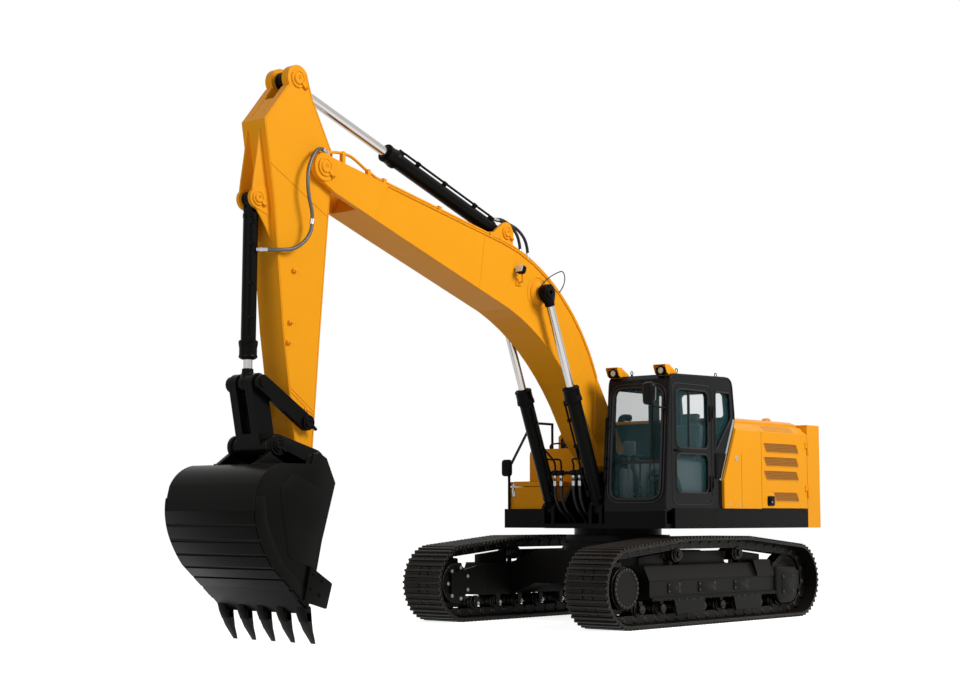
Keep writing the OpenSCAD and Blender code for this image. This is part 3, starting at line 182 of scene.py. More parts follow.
@dataclass(frozen=True)
class Enamel:
    """Sprayed machine enamel on steel: an even gloss with faint orange peel and dusty flats.

    The colour drifts a little over a panel, edges are rounded by a bevel in the normal and
    take a lighter edge colour, partly wear and partly a painted highlight, and dust dulls what faces up.
    """

    name: str
    slot: Slot
    colour: str
    drift: str
    # Lighter colour of the edges: partly wear, partly a painted highlight
    edge_wear_and_highlight: str
    dust: str
    roughness: float = 0.35
    metallic: float = 0.0
    specular: float = 0.3
    coat: float = 0.0
    peel_mm: float = 9.0
    peel_depth_mm: float = 0.12
    cloud_mm: float = 420.0
    edge_mm: float = 7.0
    # Strength of that lighter edge colour, partly wear and partly a painted highlight
    wear: float = 0.25
    dusting: float = 0.15
    bevel_samples: int = 6
    peel_strength: float = 0.5
    gloss_spread: tuple[float, float] = (-0.06, 0.08)
    coat_roughness: float = 0.12

    def material(self) -> bpy.types.Material:
        """Build the node material, once for each finish.

        Returns:
            The material, new or made before.
        """
        found = bpy.data.materials.get(self.name)
        if found:
            return found
        made, place = blank_material(self.name, self.colour)
        tree = made.node_tree
        cloud = add_node(tree, "ShaderNodeTexNoise", {"Scale": 1000 / self.cloud_mm, "Detail": 4.0},
                         {"Vector": place})
        peel = add_node(tree, "ShaderNodeTexNoise", {"Scale": 1000 / self.peel_mm, "Detail": 2.0},
                        {"Vector": place})
        round_edge = add_node(tree, "ShaderNodeBevel",
                              {"samples": self.bevel_samples, "Radius": self.edge_mm * MM})
        shape = add_node(tree, "ShaderNodeNewGeometry")
        along = add_node(tree, "ShaderNodeVectorMath", {"operation": "DOT_PRODUCT"},
                         {0: round_edge.outputs["Normal"], 1: shape.outputs["True Normal"]})
        # Edges, where the bevel normal leaves the true normal, take the lighter edge colour: partly wear,
        # partly a painted highlight
        wear_and_highlight_edge = add_node(tree, "ShaderNodeMath", {"operation": "MULTIPLY_ADD", 1: -self.wear, 2: self.wear},
                       {0: along.outputs["Value"]})
        wear_and_highlight_mask = add_node(tree, "ShaderNodeMath", {"operation": "MULTIPLY", "use_clamp": True},
                          {0: wear_and_highlight_edge.outputs["Value"], 1: cloud.outputs["Fac"]})
        fade = add_node(tree, "ShaderNodeMix", {"data_type": "RGBA", 6: linear(self.colour),
                                                7: linear(self.drift)}, {0: cloud.outputs["Fac"]})
        with_wear_and_highlight = add_node(tree, "ShaderNodeMix", {"data_type": "RGBA", 7: linear(self.edge_wear_and_highlight)},
                        {0: wear_and_highlight_mask.outputs["Value"], 6: fade.outputs[2]})
        up = add_node(tree, "ShaderNodeSeparateXYZ", links={0: shape.outputs["Normal"]})
        lie = add_node(tree, "ShaderNodeMath", {"operation": "MULTIPLY", 1: self.dusting, "use_clamp": True},
                       {0: up.outputs["Z"]})
        settle = add_node(tree, "ShaderNodeMath", {"operation": "MULTIPLY", "use_clamp": True},
                          {0: lie.outputs["Value"], 1: cloud.outputs["Fac"]})
        dusty = add_node(tree, "ShaderNodeMix", {"data_type": "RGBA", 7: linear(self.dust)},
                         {0: settle.outputs["Value"], 6: with_wear_and_highlight.outputs[2]})
        low, high = (self.roughness + part for part in self.gloss_spread)
        gloss = add_node(tree, "ShaderNodeMapRange", {"To Min": low, "To Max": high},
                         {"Value": cloud.outputs["Fac"]})
        bump = add_node(tree, "ShaderNodeBump",
                        {"Strength": self.peel_strength, "Distance": self.peel_depth_mm * MM},
                        {"Height": peel.outputs["Fac"], "Normal": round_edge.outputs["Normal"]})
        feed(tree, tree.nodes["Principled BSDF"],
             {"Metallic": self.metallic, "Specular IOR Level": self.specular, "Coat Weight": self.coat,
              "Coat Roughness": self.coat_roughness},
             {"Base Color": dusty.outputs[2], "Roughness": gloss.outputs["Result"],
              "Normal": bump.outputs["Normal"]})
        return made


@dataclass(frozen=True)
class Plain:
    """A finish with one colour and a fine grain in tone, gloss and relief: rubber, chrome, glass or vinyl."""

    name: str
    slot: Slot
    colour: str
    roughness: float
    metallic: float = 0.0
    alpha: float = 1.0
    grain_mm: float = 3.0
    grain_depth_mm: float = 0.1
    grain_gloss: float = 0.05
    shade: float = 0.72
    specular: float = 0.25
    grain_strength: float = 0.4
    least_roughness: float = 0.02

    def material(self) -> bpy.types.Material:
        """Build the node material, once for each finish.

        Returns:
            The material, new or made before.
        """
        found = bpy.data.materials.get(self.name)
        if found:
            return found
        made, place = blank_material(self.name, self.colour)
        tree = made.node_tree
        grain = add_node(tree, "ShaderNodeTexNoise", {"Scale": 1000 / self.grain_mm, "Detail": 3.0},
                         {"Vector": place})
        tone = add_node(tree, "ShaderNodeMix", {"data_type": "RGBA", 6: linear(self.colour),
                                                7: (*(self.shade * c for c in linear(self.colour)[:3]), 1.0)},
                        {0: grain.outputs["Fac"]})
        gloss = add_node(tree, "ShaderNodeMapRange",
                         {"To Min": max(self.least_roughness, self.roughness - self.grain_gloss),
                          "To Max": self.roughness + self.grain_gloss}, {"Value": grain.outputs["Fac"]})
        bump = add_node(tree, "ShaderNodeBump",
                        {"Strength": self.grain_strength, "Distance": self.grain_depth_mm * MM},
                        {"Height": grain.outputs["Fac"]})
        feed(tree, tree.nodes["Principled BSDF"],
             {"Metallic": self.metallic, "Specular IOR Level": self.specular, "Alpha": self.alpha},
             {"Base Color": tone.outputs[2], "Roughness": gloss.outputs["Result"],
              "Normal": bump.outputs["Normal"]})
        return made


Finish = Enamel | Plain

# Alkyd enamel over primed plate: warm yellow, evenly glossy, with paler edges that paint a highlight
YELLOW = Enamel("yellow_alkyd_enamel", Slot.YELLOW, "#f0a01c", "#eb9a18", "#f7c873", "#d9b784",
                roughness=0.34, specular=0.05)
# Black machine enamel: half gloss that goes brown where dust lies
BLACK = Enamel("black_half_gloss_enamel", Slot.BLACK, "#090908", "#0d0c0b", "#3a3835", "#40392f",
               roughness=0.3, specular=0.045)
# Powder-coated cab frame, darker and glossier than the plate work, with a wide lighter edge band that paints
# a highlight
CAB_BLACK = Enamel("black_cab_powder_coat", Slot.BLACK, "#0a0b0c", "#0e0e10", "#2d2e31", "#3a3732",
                   roughness=0.24, specular=0.08, coat=0.03, edge_mm=14.0)
# Rolled manganese steel of shoes and chains, oiled and dusty, with light edges that are partly wear and
# partly a painted highlight
TRACK = Enamel("oiled_track_steel", Slot.TRACK, "#0e0d0c", "#151311", "#8f877a", "#5a4f40", roughness=0.44,
               metallic=0.4, specular=0.15, peel_mm=22, peel_depth_mm=0.5, edge_mm=12.0, wear=2.4,
               dusting=0.12)
# Black paint of the undercarriage, dulled by dirt
FRAME = Enamel("black_chassis_paint", Slot.FRAME, "#0a0908", "#0e0d0b", "#34312c", "#4a4032", roughness=0.42,
               specular=0.08, dusting=0.25)
# Cast iron with a thin grey wash
IRON = Enamel("grey_cast_iron", Slot.IRON, "#4a4a48", "#3c3b39", "#77736c", "#6b6255",
              roughness=0.6, peel_mm=14)
# Hard chrome on ground rods
CHROME = Plain("hard_chrome", Slot.CHROME, "#c4c2bf", 0.14, metallic=1.0, grain_mm=2.0, grain_depth_mm=0.01)
# Zinc-plated steel of bolts, fittings and latches
ZINC = Plain("zinc_plated_steel", Slot.CHROME, "#b9bcbd", 0.32, metallic=0.9, grain_mm=5.0,
             grain_depth_mm=0.03)
# Tinted toughened cab glass
GLASS = Plain("tinted_cab_glass", Slot.GLASS, "#386a6e", 0.03, alpha=0.16, grain_mm=900, grain_depth_mm=0.0)
# Clear moulded lamp lens
LENS = Plain("ribbed_lamp_lens", Slot.GLASS, "#d8d4c6", 0.12, grain_mm=12.0, grain_depth_mm=0.4, shade=0.8)
# Mirror glass
MIRROR = Plain("silvered_mirror_glass", Slot.CHROME, "#c8ced2", 0.05, metallic=1.0, grain_mm=800,
               grain_depth_mm=0.0)
# Red reflector moulding
RED = Plain("red_reflector_moulding", Slot.GLASS, "#8c1512", 0.2, grain_mm=6.0, grain_depth_mm=0.2)
# Seat cover vinyl with pebble grain; its pale blue-grey is partly the vinyl's tone and partly a painted sheen
# of a clear plastic cover
VINYL = Plain("seat_vinyl_and_painted_sheen", Slot.VINYL, "#4b5255", 0.5, grain_mm=6.0, grain_depth_mm=0.4)
# Grained console plastic
PLASTIC = Plain("grained_console_plastic", Slot.VINYL, "#5a6164", 0.5, grain_mm=4.0, grain_depth_mm=0.2)
# Hose rubber with a cloth-marked surface
RUBBER = Plain("hose_rubber", Slot.BLACK, "#131313", 0.55, grain_mm=3.0, grain_depth_mm=0.25)
# Glazing seal, dull black rubber
SEAL = Plain("glazing_seal_rubber", Slot.BLACK, "#0a0a0b", 0.42, grain_mm=5.0, grain_depth_mm=0.08)
# Woven wire sleeve over a hose
BRAID = Plain("braided_steel_sleeve", Slot.CHROME, "#5d5e5d", 0.42, metallic=0.85, grain_mm=4.0,
              grain_depth_mm=0.6)
# Grille wire and shoulder slots, a brown darker than the yellow paint that paints the shade in the mesh and
# in the slots
MESH = Plain("grille_and_slot_painted_shade", Slot.BLACK, "#bd7f31", 0.6, grain_mm=30.0, grain_depth_mm=0.1)
# Pale grey trim strip
TRIM = Plain("pale_grey_trim", Slot.CHROME, "#a9adb0", 0.45, grain_mm=5.0, grain_depth_mm=0.05)

NODE_FINISHES: dict[Finish, tuple[str, ...]] = {
    YELLOW: ("counterweight", "engine_hood", "left_panel", "left_door", "right_panel", "right_door",
             "fuel_tank", "toolbox", "toolbox_lid", "roof_lamps", "boom", "boom_pipes", "arm"),
    BLACK: ("upper_frame", "handrails", "bucket", "bucket_teeth", "rockers", "bucket_link", "boom_barrels",
            "arm_barrel", "bucket_barrel"),
    CAB_BLACK: ("cab_floor", "cab_front", "cab_right_wall", "cab_rear_wall", "cab_left_wall", "cab_roof",
                "cab_door", "left_mirror"),
    FRAME: ("car_body", "slew_ring", "track_frames"),
    TRACK: ("track_left", "track_right", "sprockets", "idlers", "rollers"),
    IRON: ("engine",),
    CHROME: ("boom_rods", "arm_rod", "bucket_rod"),
    GLASS: ("cab_glass", "door_glass"),
    VINYL: ("cab_seat",),
}


def dress_nodes(nodes: dict[str, bpy.types.Object]) -> None:
    """Give each CAD node its finish.

    Args:
        nodes: CAD objects by name.
    """
    for finish, names in NODE_FINISHES.items():
        for name in names:
            mesh = nodes[name].data
            mesh.materials.clear()
            mesh.materials.append(finish.material())


def unit(vectors: Array) -> Array:
    """Scale vectors in the last axis to length one."""
    vectors = np.asarray(vectors, float)
    return vectors / np.linalg.norm(vectors, axis=-1, keepdims=True)


def left_of(vectors: Array) -> Array:
    """Turn side-view vectors a quarter turn to the left."""
    return np.stack([-vectors[:, 1], vectors[:, 0]], axis=1)


def on_circle(angles: Array) -> Array:
    """Points of the unit circle at the given angles."""
    return np.stack([np.cos(angles), np.sin(angles)], axis=1)


def square_to(axis: Array) -> tuple[Array, Array]:
    """Two unit vectors square to a unit axis and to each other."""
    side = unit(np.cross(axis, np.eye(3)[np.argmin(np.abs(axis))]))
    return side, np.cross(axis, side)


def spokes(side: Array, up: Array, count: int) -> Array:
    """Unit vectors all round, evenly, in the plane of two others."""
    angle = np.arange(count)[:, None] * 2 * np.pi / count
    return side * np.cos(angle) + up * np.sin(angle)


def run_along(path: Array) -> Array:
    """Distance of each point along a path from its start."""
    return np.concatenate([[0], np.cumsum(np.linalg.norm(np.diff(path, axis=0), axis=1))])


def inset(outline: Array, depth: float) -> Array:
    """Move an anticlockwise outline inwards.

    Args:
        outline: corners, two columns.
        depth: distance that each edge moves.

    Returns:
        The moved corners.
    """
    before = unit(outline - np.roll(outline, 1, axis=0))
    after = np.roll(before, -1, axis=0)
    m, n = left_of(before), left_of(after)
    return outline + (m + n) * depth / np.maximum(MITRE_LEAST, 1 + np.sum(m * n, axis=1, keepdims=True))


def softened(outline: Array, reach: float, steps: int = 4) -> Array:
    """Round each corner of a closed outline with a short quadratic curve.

    Args:
        outline: corners, two columns.
        reach: how far before and after the corner the curve starts and ends.
        steps: pieces of each curve.

    Returns:
        The finer outline.
    """
    outline = np.asarray(outline, float)
    back, on = np.roll(outline, 1, axis=0) - outline, np.roll(outline, -1, axis=0) - outline
    ends = [outline + unit(d) * np.minimum(reach, CORNER_SHARE * np.linalg.norm(d, axis=1, keepdims=True))
            for d in (back, on)]
    return bend(ends[0][:, None], outline[:, None], ends[1][:, None], steps).reshape(-1, 2)


def rectangle(a0: float, a1: float, b0: float, b1: float, reach: float = 0.0, steps: int = 4) -> Array:
    """Outline of a rectangle with rounded corners, anticlockwise."""
    corners = np.array([[a0, b0], [a1, b0], [a1, b1], [a0, b1]])
    return softened(corners, reach, steps) if reach else corners


def circle(centre: tuple[float, float], radius: float, count: int = 24) -> Array:
    """Points of a circle, anticlockwise."""
    return np.asarray(centre) + radius * on_circle(np.arange(count) * 2 * np.pi / count)


def bend(a: Array, b: Array, c: Array, steps: int) -> Array:
    """Quadratic curve from a to c drawn towards b."""
    t = np.linspace(0, 1, steps + 1)[:, None]
    return np.asarray(a) * (1 - t) ** 2 + np.asarray(b) * 2 * t * (1 - t) + np.asarray(c) * t ** 2


def spline(points: Array, per: int = 8) -> Array:
    """Smooth curve through all points, with even tangents at each.

    Args:
        points: places to pass, one row each.
        per: pieces between two of them.

    Returns:
        Finer points along the curve.
    """
    points = np.asarray(points, float)
    slopes = np.gradient(points, axis=0)
    t = np.linspace(0, 1, per, endpoint=False)[None, :, None]
    a, b, m, n = points[:-1, None], points[1:, None], slopes[:-1, None], slopes[1:, None]
    curve = (a * (2 * t ** 3 - 3 * t ** 2 + 1) + m * (t ** 3 - 2 * t ** 2 + t)
             + b * (3 * t ** 2 - 2 * t ** 3) + n * (t ** 3 - t ** 2))
    return np.concatenate([curve.reshape(-1, points.shape[1]), points[-1:]])


def evenly(path: Array, step: float) -> Array:
    """Put points along a path, at even shares of its run.

    Args:
        path: points of the path.
        step: distance aimed at between two points.

    Returns:
        The new points.
    """
    path = np.asarray(path, float)
    run = run_along(path)
    at = np.linspace(0, run[-1], max(3, int(round(run[-1] / step)) + 1))
    return np.stack([np.interp(at, run, column) for column in path.T], axis=1)


def length(path: Array) -> float:
    """Length of a path."""
    return float(run_along(path)[-1])


def within(points: Array, ring: Array) -> Array:
    """Tell which points lie in a closed outline: a ray from each crosses an odd number of edges.

    Args:
        points: places, two columns.
        ring: corners of the outline.

    Returns:
        True for each point inside.
    """
    p, a, b = points[:, None], ring[None], np.roll(ring, -1, axis=0)[None]
    rise = np.where(a[..., 1] == b[..., 1], 1.0, b[..., 1] - a[..., 1])
    meet = a[..., 0] + (p[..., 1] - a[..., 1]) * (b[..., 0] - a[..., 0]) / rise
    crossed = ((a[..., 1] > p[..., 1]) != (b[..., 1] > p[..., 1])) & (p[..., 0] < meet)
    return np.sum(crossed, axis=1) % 2 == 1


def linked(a: Array, ra: float, b: Array, rb: float, count: int = 14) -> Array:
    """Outline round two circles, as of a flat link: two arcs joined by their common tangents.

    Args:
        a, b: centres.
        ra, rb: radii.
        count: points on each arc.

    Returns:
        The outline, anticlockwise.
    """
    a, b = np.asarray(a, float), np.asarray(b, float)
    psi = math.atan2(*(b - a)[::-1])
    beta = math.acos((ra - rb) / np.linalg.norm(b - a))
    first = np.linspace(psi + beta, psi + 2 * np.pi - beta, count)
    second = np.linspace(psi - beta, psi + beta, count)
    return np.concatenate([a + ra * on_circle(first), b + rb * on_circle(second)])


def at_side(outline: Array, y: float) -> Array:
    """Put side-view points at one place across the machine."""
    outline = np.asarray(outline, float)
    return np.insert(outline, 1, y, axis=1)


@dataclass
class Shell:
    """Points and faces of one piece, gathered before its mesh is made."""

    points: list[Array] = field(default_factory=list)
    faces: list[list[int]] = field(default_factory=list)
    count: int = 0

    def add(self, points: Array, faces: list[list[int]]) -> None:
        """Take in points and the faces that index them.

        Args:
            points: new points, one row each.
            faces: corners of each face, counted from the first new point.
        """
        self.faces += [[i + self.count for i in face] for face in faces]
        self.points.append(points)
        self.count += len(points)

    def grid(self, rows: Array, around: bool = True, caps: bool = True) -> None:
        """Skin rows of points.

        Args:
            rows: array of row, column and coordinate.
            around: whether each row closes on itself.
            caps: whether the first and last rows get faces.
        """
        n, m = rows.shape[:2]
        i = np.arange(n - 1)[:, None] * m
        j = np.arange(m if around else m - 1)[None, :]
        k = (j + 1) % m
        faces = np.stack([i + j, i + k, i + m + k, i + m + j], axis=-1).reshape(-1, 4).tolist()
        if caps:
            faces += [list(range(m))[::-1], list(range((n - 1) * m, n * m))]
        self.add(rows.reshape(-1, 3), faces)

    def tube(self, path: Array, radius: float | Array, sides: int = 10) -> None:
        """Skin a round tube along a path, its frames carried on without twist.

        Args:
            path: points of its middle line.
            radius: one for all points, or one for each.
            sides: points round it.
        """
        path = np.asarray(path, float)
        ahead = unit(np.gradient(path, axis=0))
        side = np.empty_like(path)
        side[0] = square_to(ahead[0])[0]
        for i in range(1, len(path)):
            side[i] = unit(side[i - 1] - ahead[i] * np.dot(side[i - 1], ahead[i]))
        wide = np.broadcast_to(radius, len(path))[:, None, None]
        self.grid(path[:, None] + wide * spokes(side[:, None], np.cross(ahead, side)[:, None], sides))

    def ring(self, path: Array, radius: float, sides: int = 8) -> None:
        """Skin a tube along a closed flat path, such as a seal round a pane.

        Args:
            path: points of its middle line.
            radius: radius of the tube.
            sides: points round it.
        """
        path = np.asarray(path, float)
        ahead = unit(np.roll(path, -1, axis=0) - np.roll(path, 1, axis=0))
        flat = unit(np.cross(path[1] - path[0], path[len(path) // 3] - path[0]))
        rows = path[:, None] + radius * spokes(np.cross(ahead, flat)[:, None], flat, sides)
        self.grid(np.concatenate([rows, rows[:1]]), caps=False)

    def lathe(self, base: Array, axis: Array, profile: list[tuple[float, float]], sides: int = 28) -> None:
        """Turn a profile about an axis.

        Args:
            base: point of the axis at height zero.
            axis: its direction.
            profile: pairs of height and radius.
            sides: points round it.
        """
        axis = unit(axis)
        high, wide = np.asarray(profile, float).T[:, :, None, None]
        self.grid(np.asarray(base) + high * axis + wide * spokes(*square_to(axis), sides))

    def plate(self, outline: Array, base: Array, u: Array, v: Array, w: Array, edge: float = 0.003,
              steps: int = 2) -> None:
        """Draw an outline out into a plate whose rims are rounded.

        Args:
            outline: corners along u and v.
            base: place of the outline's origin.
            u, v: axes of the outline.
            w: vector from the first face to the second.
            edge: radius of the rims.
            steps: pieces of each rim.
        """
        outline, u, v, w = (np.asarray(a, float) for a in (outline, u, v, w))
        nxt = np.roll(outline, -1, axis=0)
        if np.sum(outline[:, 0] * nxt[:, 1] - outline[:, 1] * nxt[:, 0]) < 0:
            outline = outline[::-1]
        t = np.linspace(0, np.pi / 2, steps + 1) if edge else np.zeros(1)
        deep = np.linalg.norm(w)
        shrink, rise = edge * (1 - np.sin(t)), edge * (1 - np.cos(t))
        levels = [*zip(shrink, rise), *zip(shrink[::-1], deep - rise[::-1])]
        rows = np.stack([np.asarray(base) + inset(outline, s) @ np.stack([u, v]) + unit(w) * h
                         for s, h in levels])
        self.grid(rows if np.dot(np.cross(u, v), w) > 0 else rows[:, ::-1])

    def side_plate(self, outline: Array, y0: float, y1: float, edge: float = 0.003) -> None:
        """Draw a side-view outline out across the machine from y0 to y1."""
        self.plate(outline, (0, y0, 0), X, Z, (0, y1 - y0, 0), edge)

    def pad(self, outline: Array, y: float, rise: float, edge: float = 0.003) -> None:
        """Raise a side-view outline from a side face, away from the machine's middle."""
        self.side_plate(outline, y, y + math.copysign(rise, y), edge)

    def block(self, low: Array, high: Array, edge: float = 0.003) -> None:
        """Add a box with rounded rims between two corners."""
        low, high = np.minimum(low, high), np.maximum(low, high)
        self.side_plate(rectangle(low[0], high[0], low[2], high[2], 2 * edge, 2), low[1], high[1], edge)

    def bolts(self, places: Array, axis: Array, radius: float) -> None:
        """Set hexagon heads on washers at all places.

        Args:
            places: points under the heads.
            axis: the way that they face.
            radius: radius of a head at its corners.
        """
        head = Shell()
        head.lathe((0, 0, 0), Z, [(-0.2 * radius, 1.5 * radius), (0.2 * radius, 1.5 * radius)], 14)
        head.lathe((0, 0, 0), Z, [(0.2 * radius, radius), (0.8 * radius, radius), (radius, 0.8 * radius)], 6)
        axis = unit(axis)
        self.copies(head, places, *square_to(axis), axis)

    def copies(self, master: "Shell", places: Array, u: Array, v: Array, w: Array) -> None:
        """Repeat another shell in frames of its own.

        Args:
            master: shell to repeat.
            places: origins, one row each.
            u, v, w: axes, one for all places or one row each.
        """
        places = np.atleast_2d(np.asarray(places, float))
        base = np.concatenate(master.points)
        axes = [np.broadcast_to(a, places.shape) for a in (u, v, w)]
        for i, place in enumerate(places):
            self.add(place + base @ np.stack([a[i] for a in axes]), master.faces)

    def bead(self, path: Array, radius: float, ripple: float = 0.03) -> None:
        """Lay a weld bead: a thin tube that swells once in each ripple.

        Args:
            path: points of its run.
            radius: its mean radius.
            ripple: length of one ripple.
        """
        path = evenly(path, ripple / BEAD_POINTS)
        swell = 1 + BEAD_SWELL * np.cos(np.arange(len(path)) * 2 * np.pi / BEAD_POINTS)
        self.tube(path, radius * swell, 6)

    def bead_round(self, ring: Array, y: float, radius: float) -> None:
        """Lay a bead all round a closed side-view outline."""
        self.bead(at_side(np.concatenate([ring, ring[:1]]), y), radius)

    def seam(self, a: Array, b: Array, ring: Array, y: float, radius: float) -> None:
        """Lay a bead on the line through two points, from edge to edge of a plate.

        Args:
            a, b: side-view points of the line.
            ring: outline of the plate.
            y: place of its face across the machine.
            radius: mean radius of the bead.
        """
        a, b = np.array(a), np.array(b)
        line = a + (b - a) * np.linspace(-0.5, 1.5, 400)[:, None]
        inner = line[within(line, ring)]
        if len(inner) > 1:
            self.bead(at_side(inner[[0, -1]], y), radius)
        else:
            LOG.info("seam at %s lies off its plate", a)

    def piece(self, name: str, finish: Finish, body: str, sharp_deg: float = 34.0,
              ride: bool = True) -> bpy.types.Object:
        """Make the mesh and hang it on a body.

        Args:
            name: name of the piece.
            finish: its material.
            body: body that it rides on.
            sharp_deg: angle above which an edge stays sharp.
            ride: whether it rides at once.

        Returns:
            The new object.
        """
        mesh = bpy.data.meshes.new(name)
        mesh.from_pydata(np.concatenate(self.points).tolist(), [], self.faces)
        work = bmesh.new()
        work.from_mesh(mesh)
        bmesh.ops.recalc_face_normals(work, faces=work.faces)
        work.to_mesh(mesh)
        work.free()
        mesh.polygons.foreach_set("use_smooth", np.ones(len(mesh.polygons), dtype=bool))
        mesh.set_sharp_from_angle(angle=math.radians(sharp_deg))
        mesh.materials.append(finish.material())
        made = bpy.data.objects.new(name, mesh)
        bpy.context.scene.collection.objects.link(made)
        if ride:
            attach(made, body)
        LOG.info("%s: %d faces on %s", name, len(mesh.polygons), body)
        return made


@dataclass(frozen=True)
class Chord:
    """Line between two pins in the side view, on which a link's shape is drawn in shares of its length."""

    start: tuple[float, float]
    heading_deg: float
    length: float

    @classmethod
    def between(cls, a: Array, b: Array) -> "Chord":
        """Chord from one pin to the next."""
        d = np.asarray(b) - np.asarray(a)
        return cls((float(a[0]), float(a[1])), math.degrees(math.atan2(d[1], d[0])), float(np.linalg.norm(d)))

    def at(self, shares: Array) -> Array:
        """Turn shares of the chord's length into side-view points.

        Args:
            shares: shares along the chord and to the left of it.

        Returns:
            The points.
        """
        turn = math.radians(self.heading_deg)
        axes = np.array([[math.cos(turn), math.sin(turn)], [-math.sin(turn), math.cos(turn)]])
        return np.asarray(self.start) + self.length * np.asarray(shares, float) @ axes


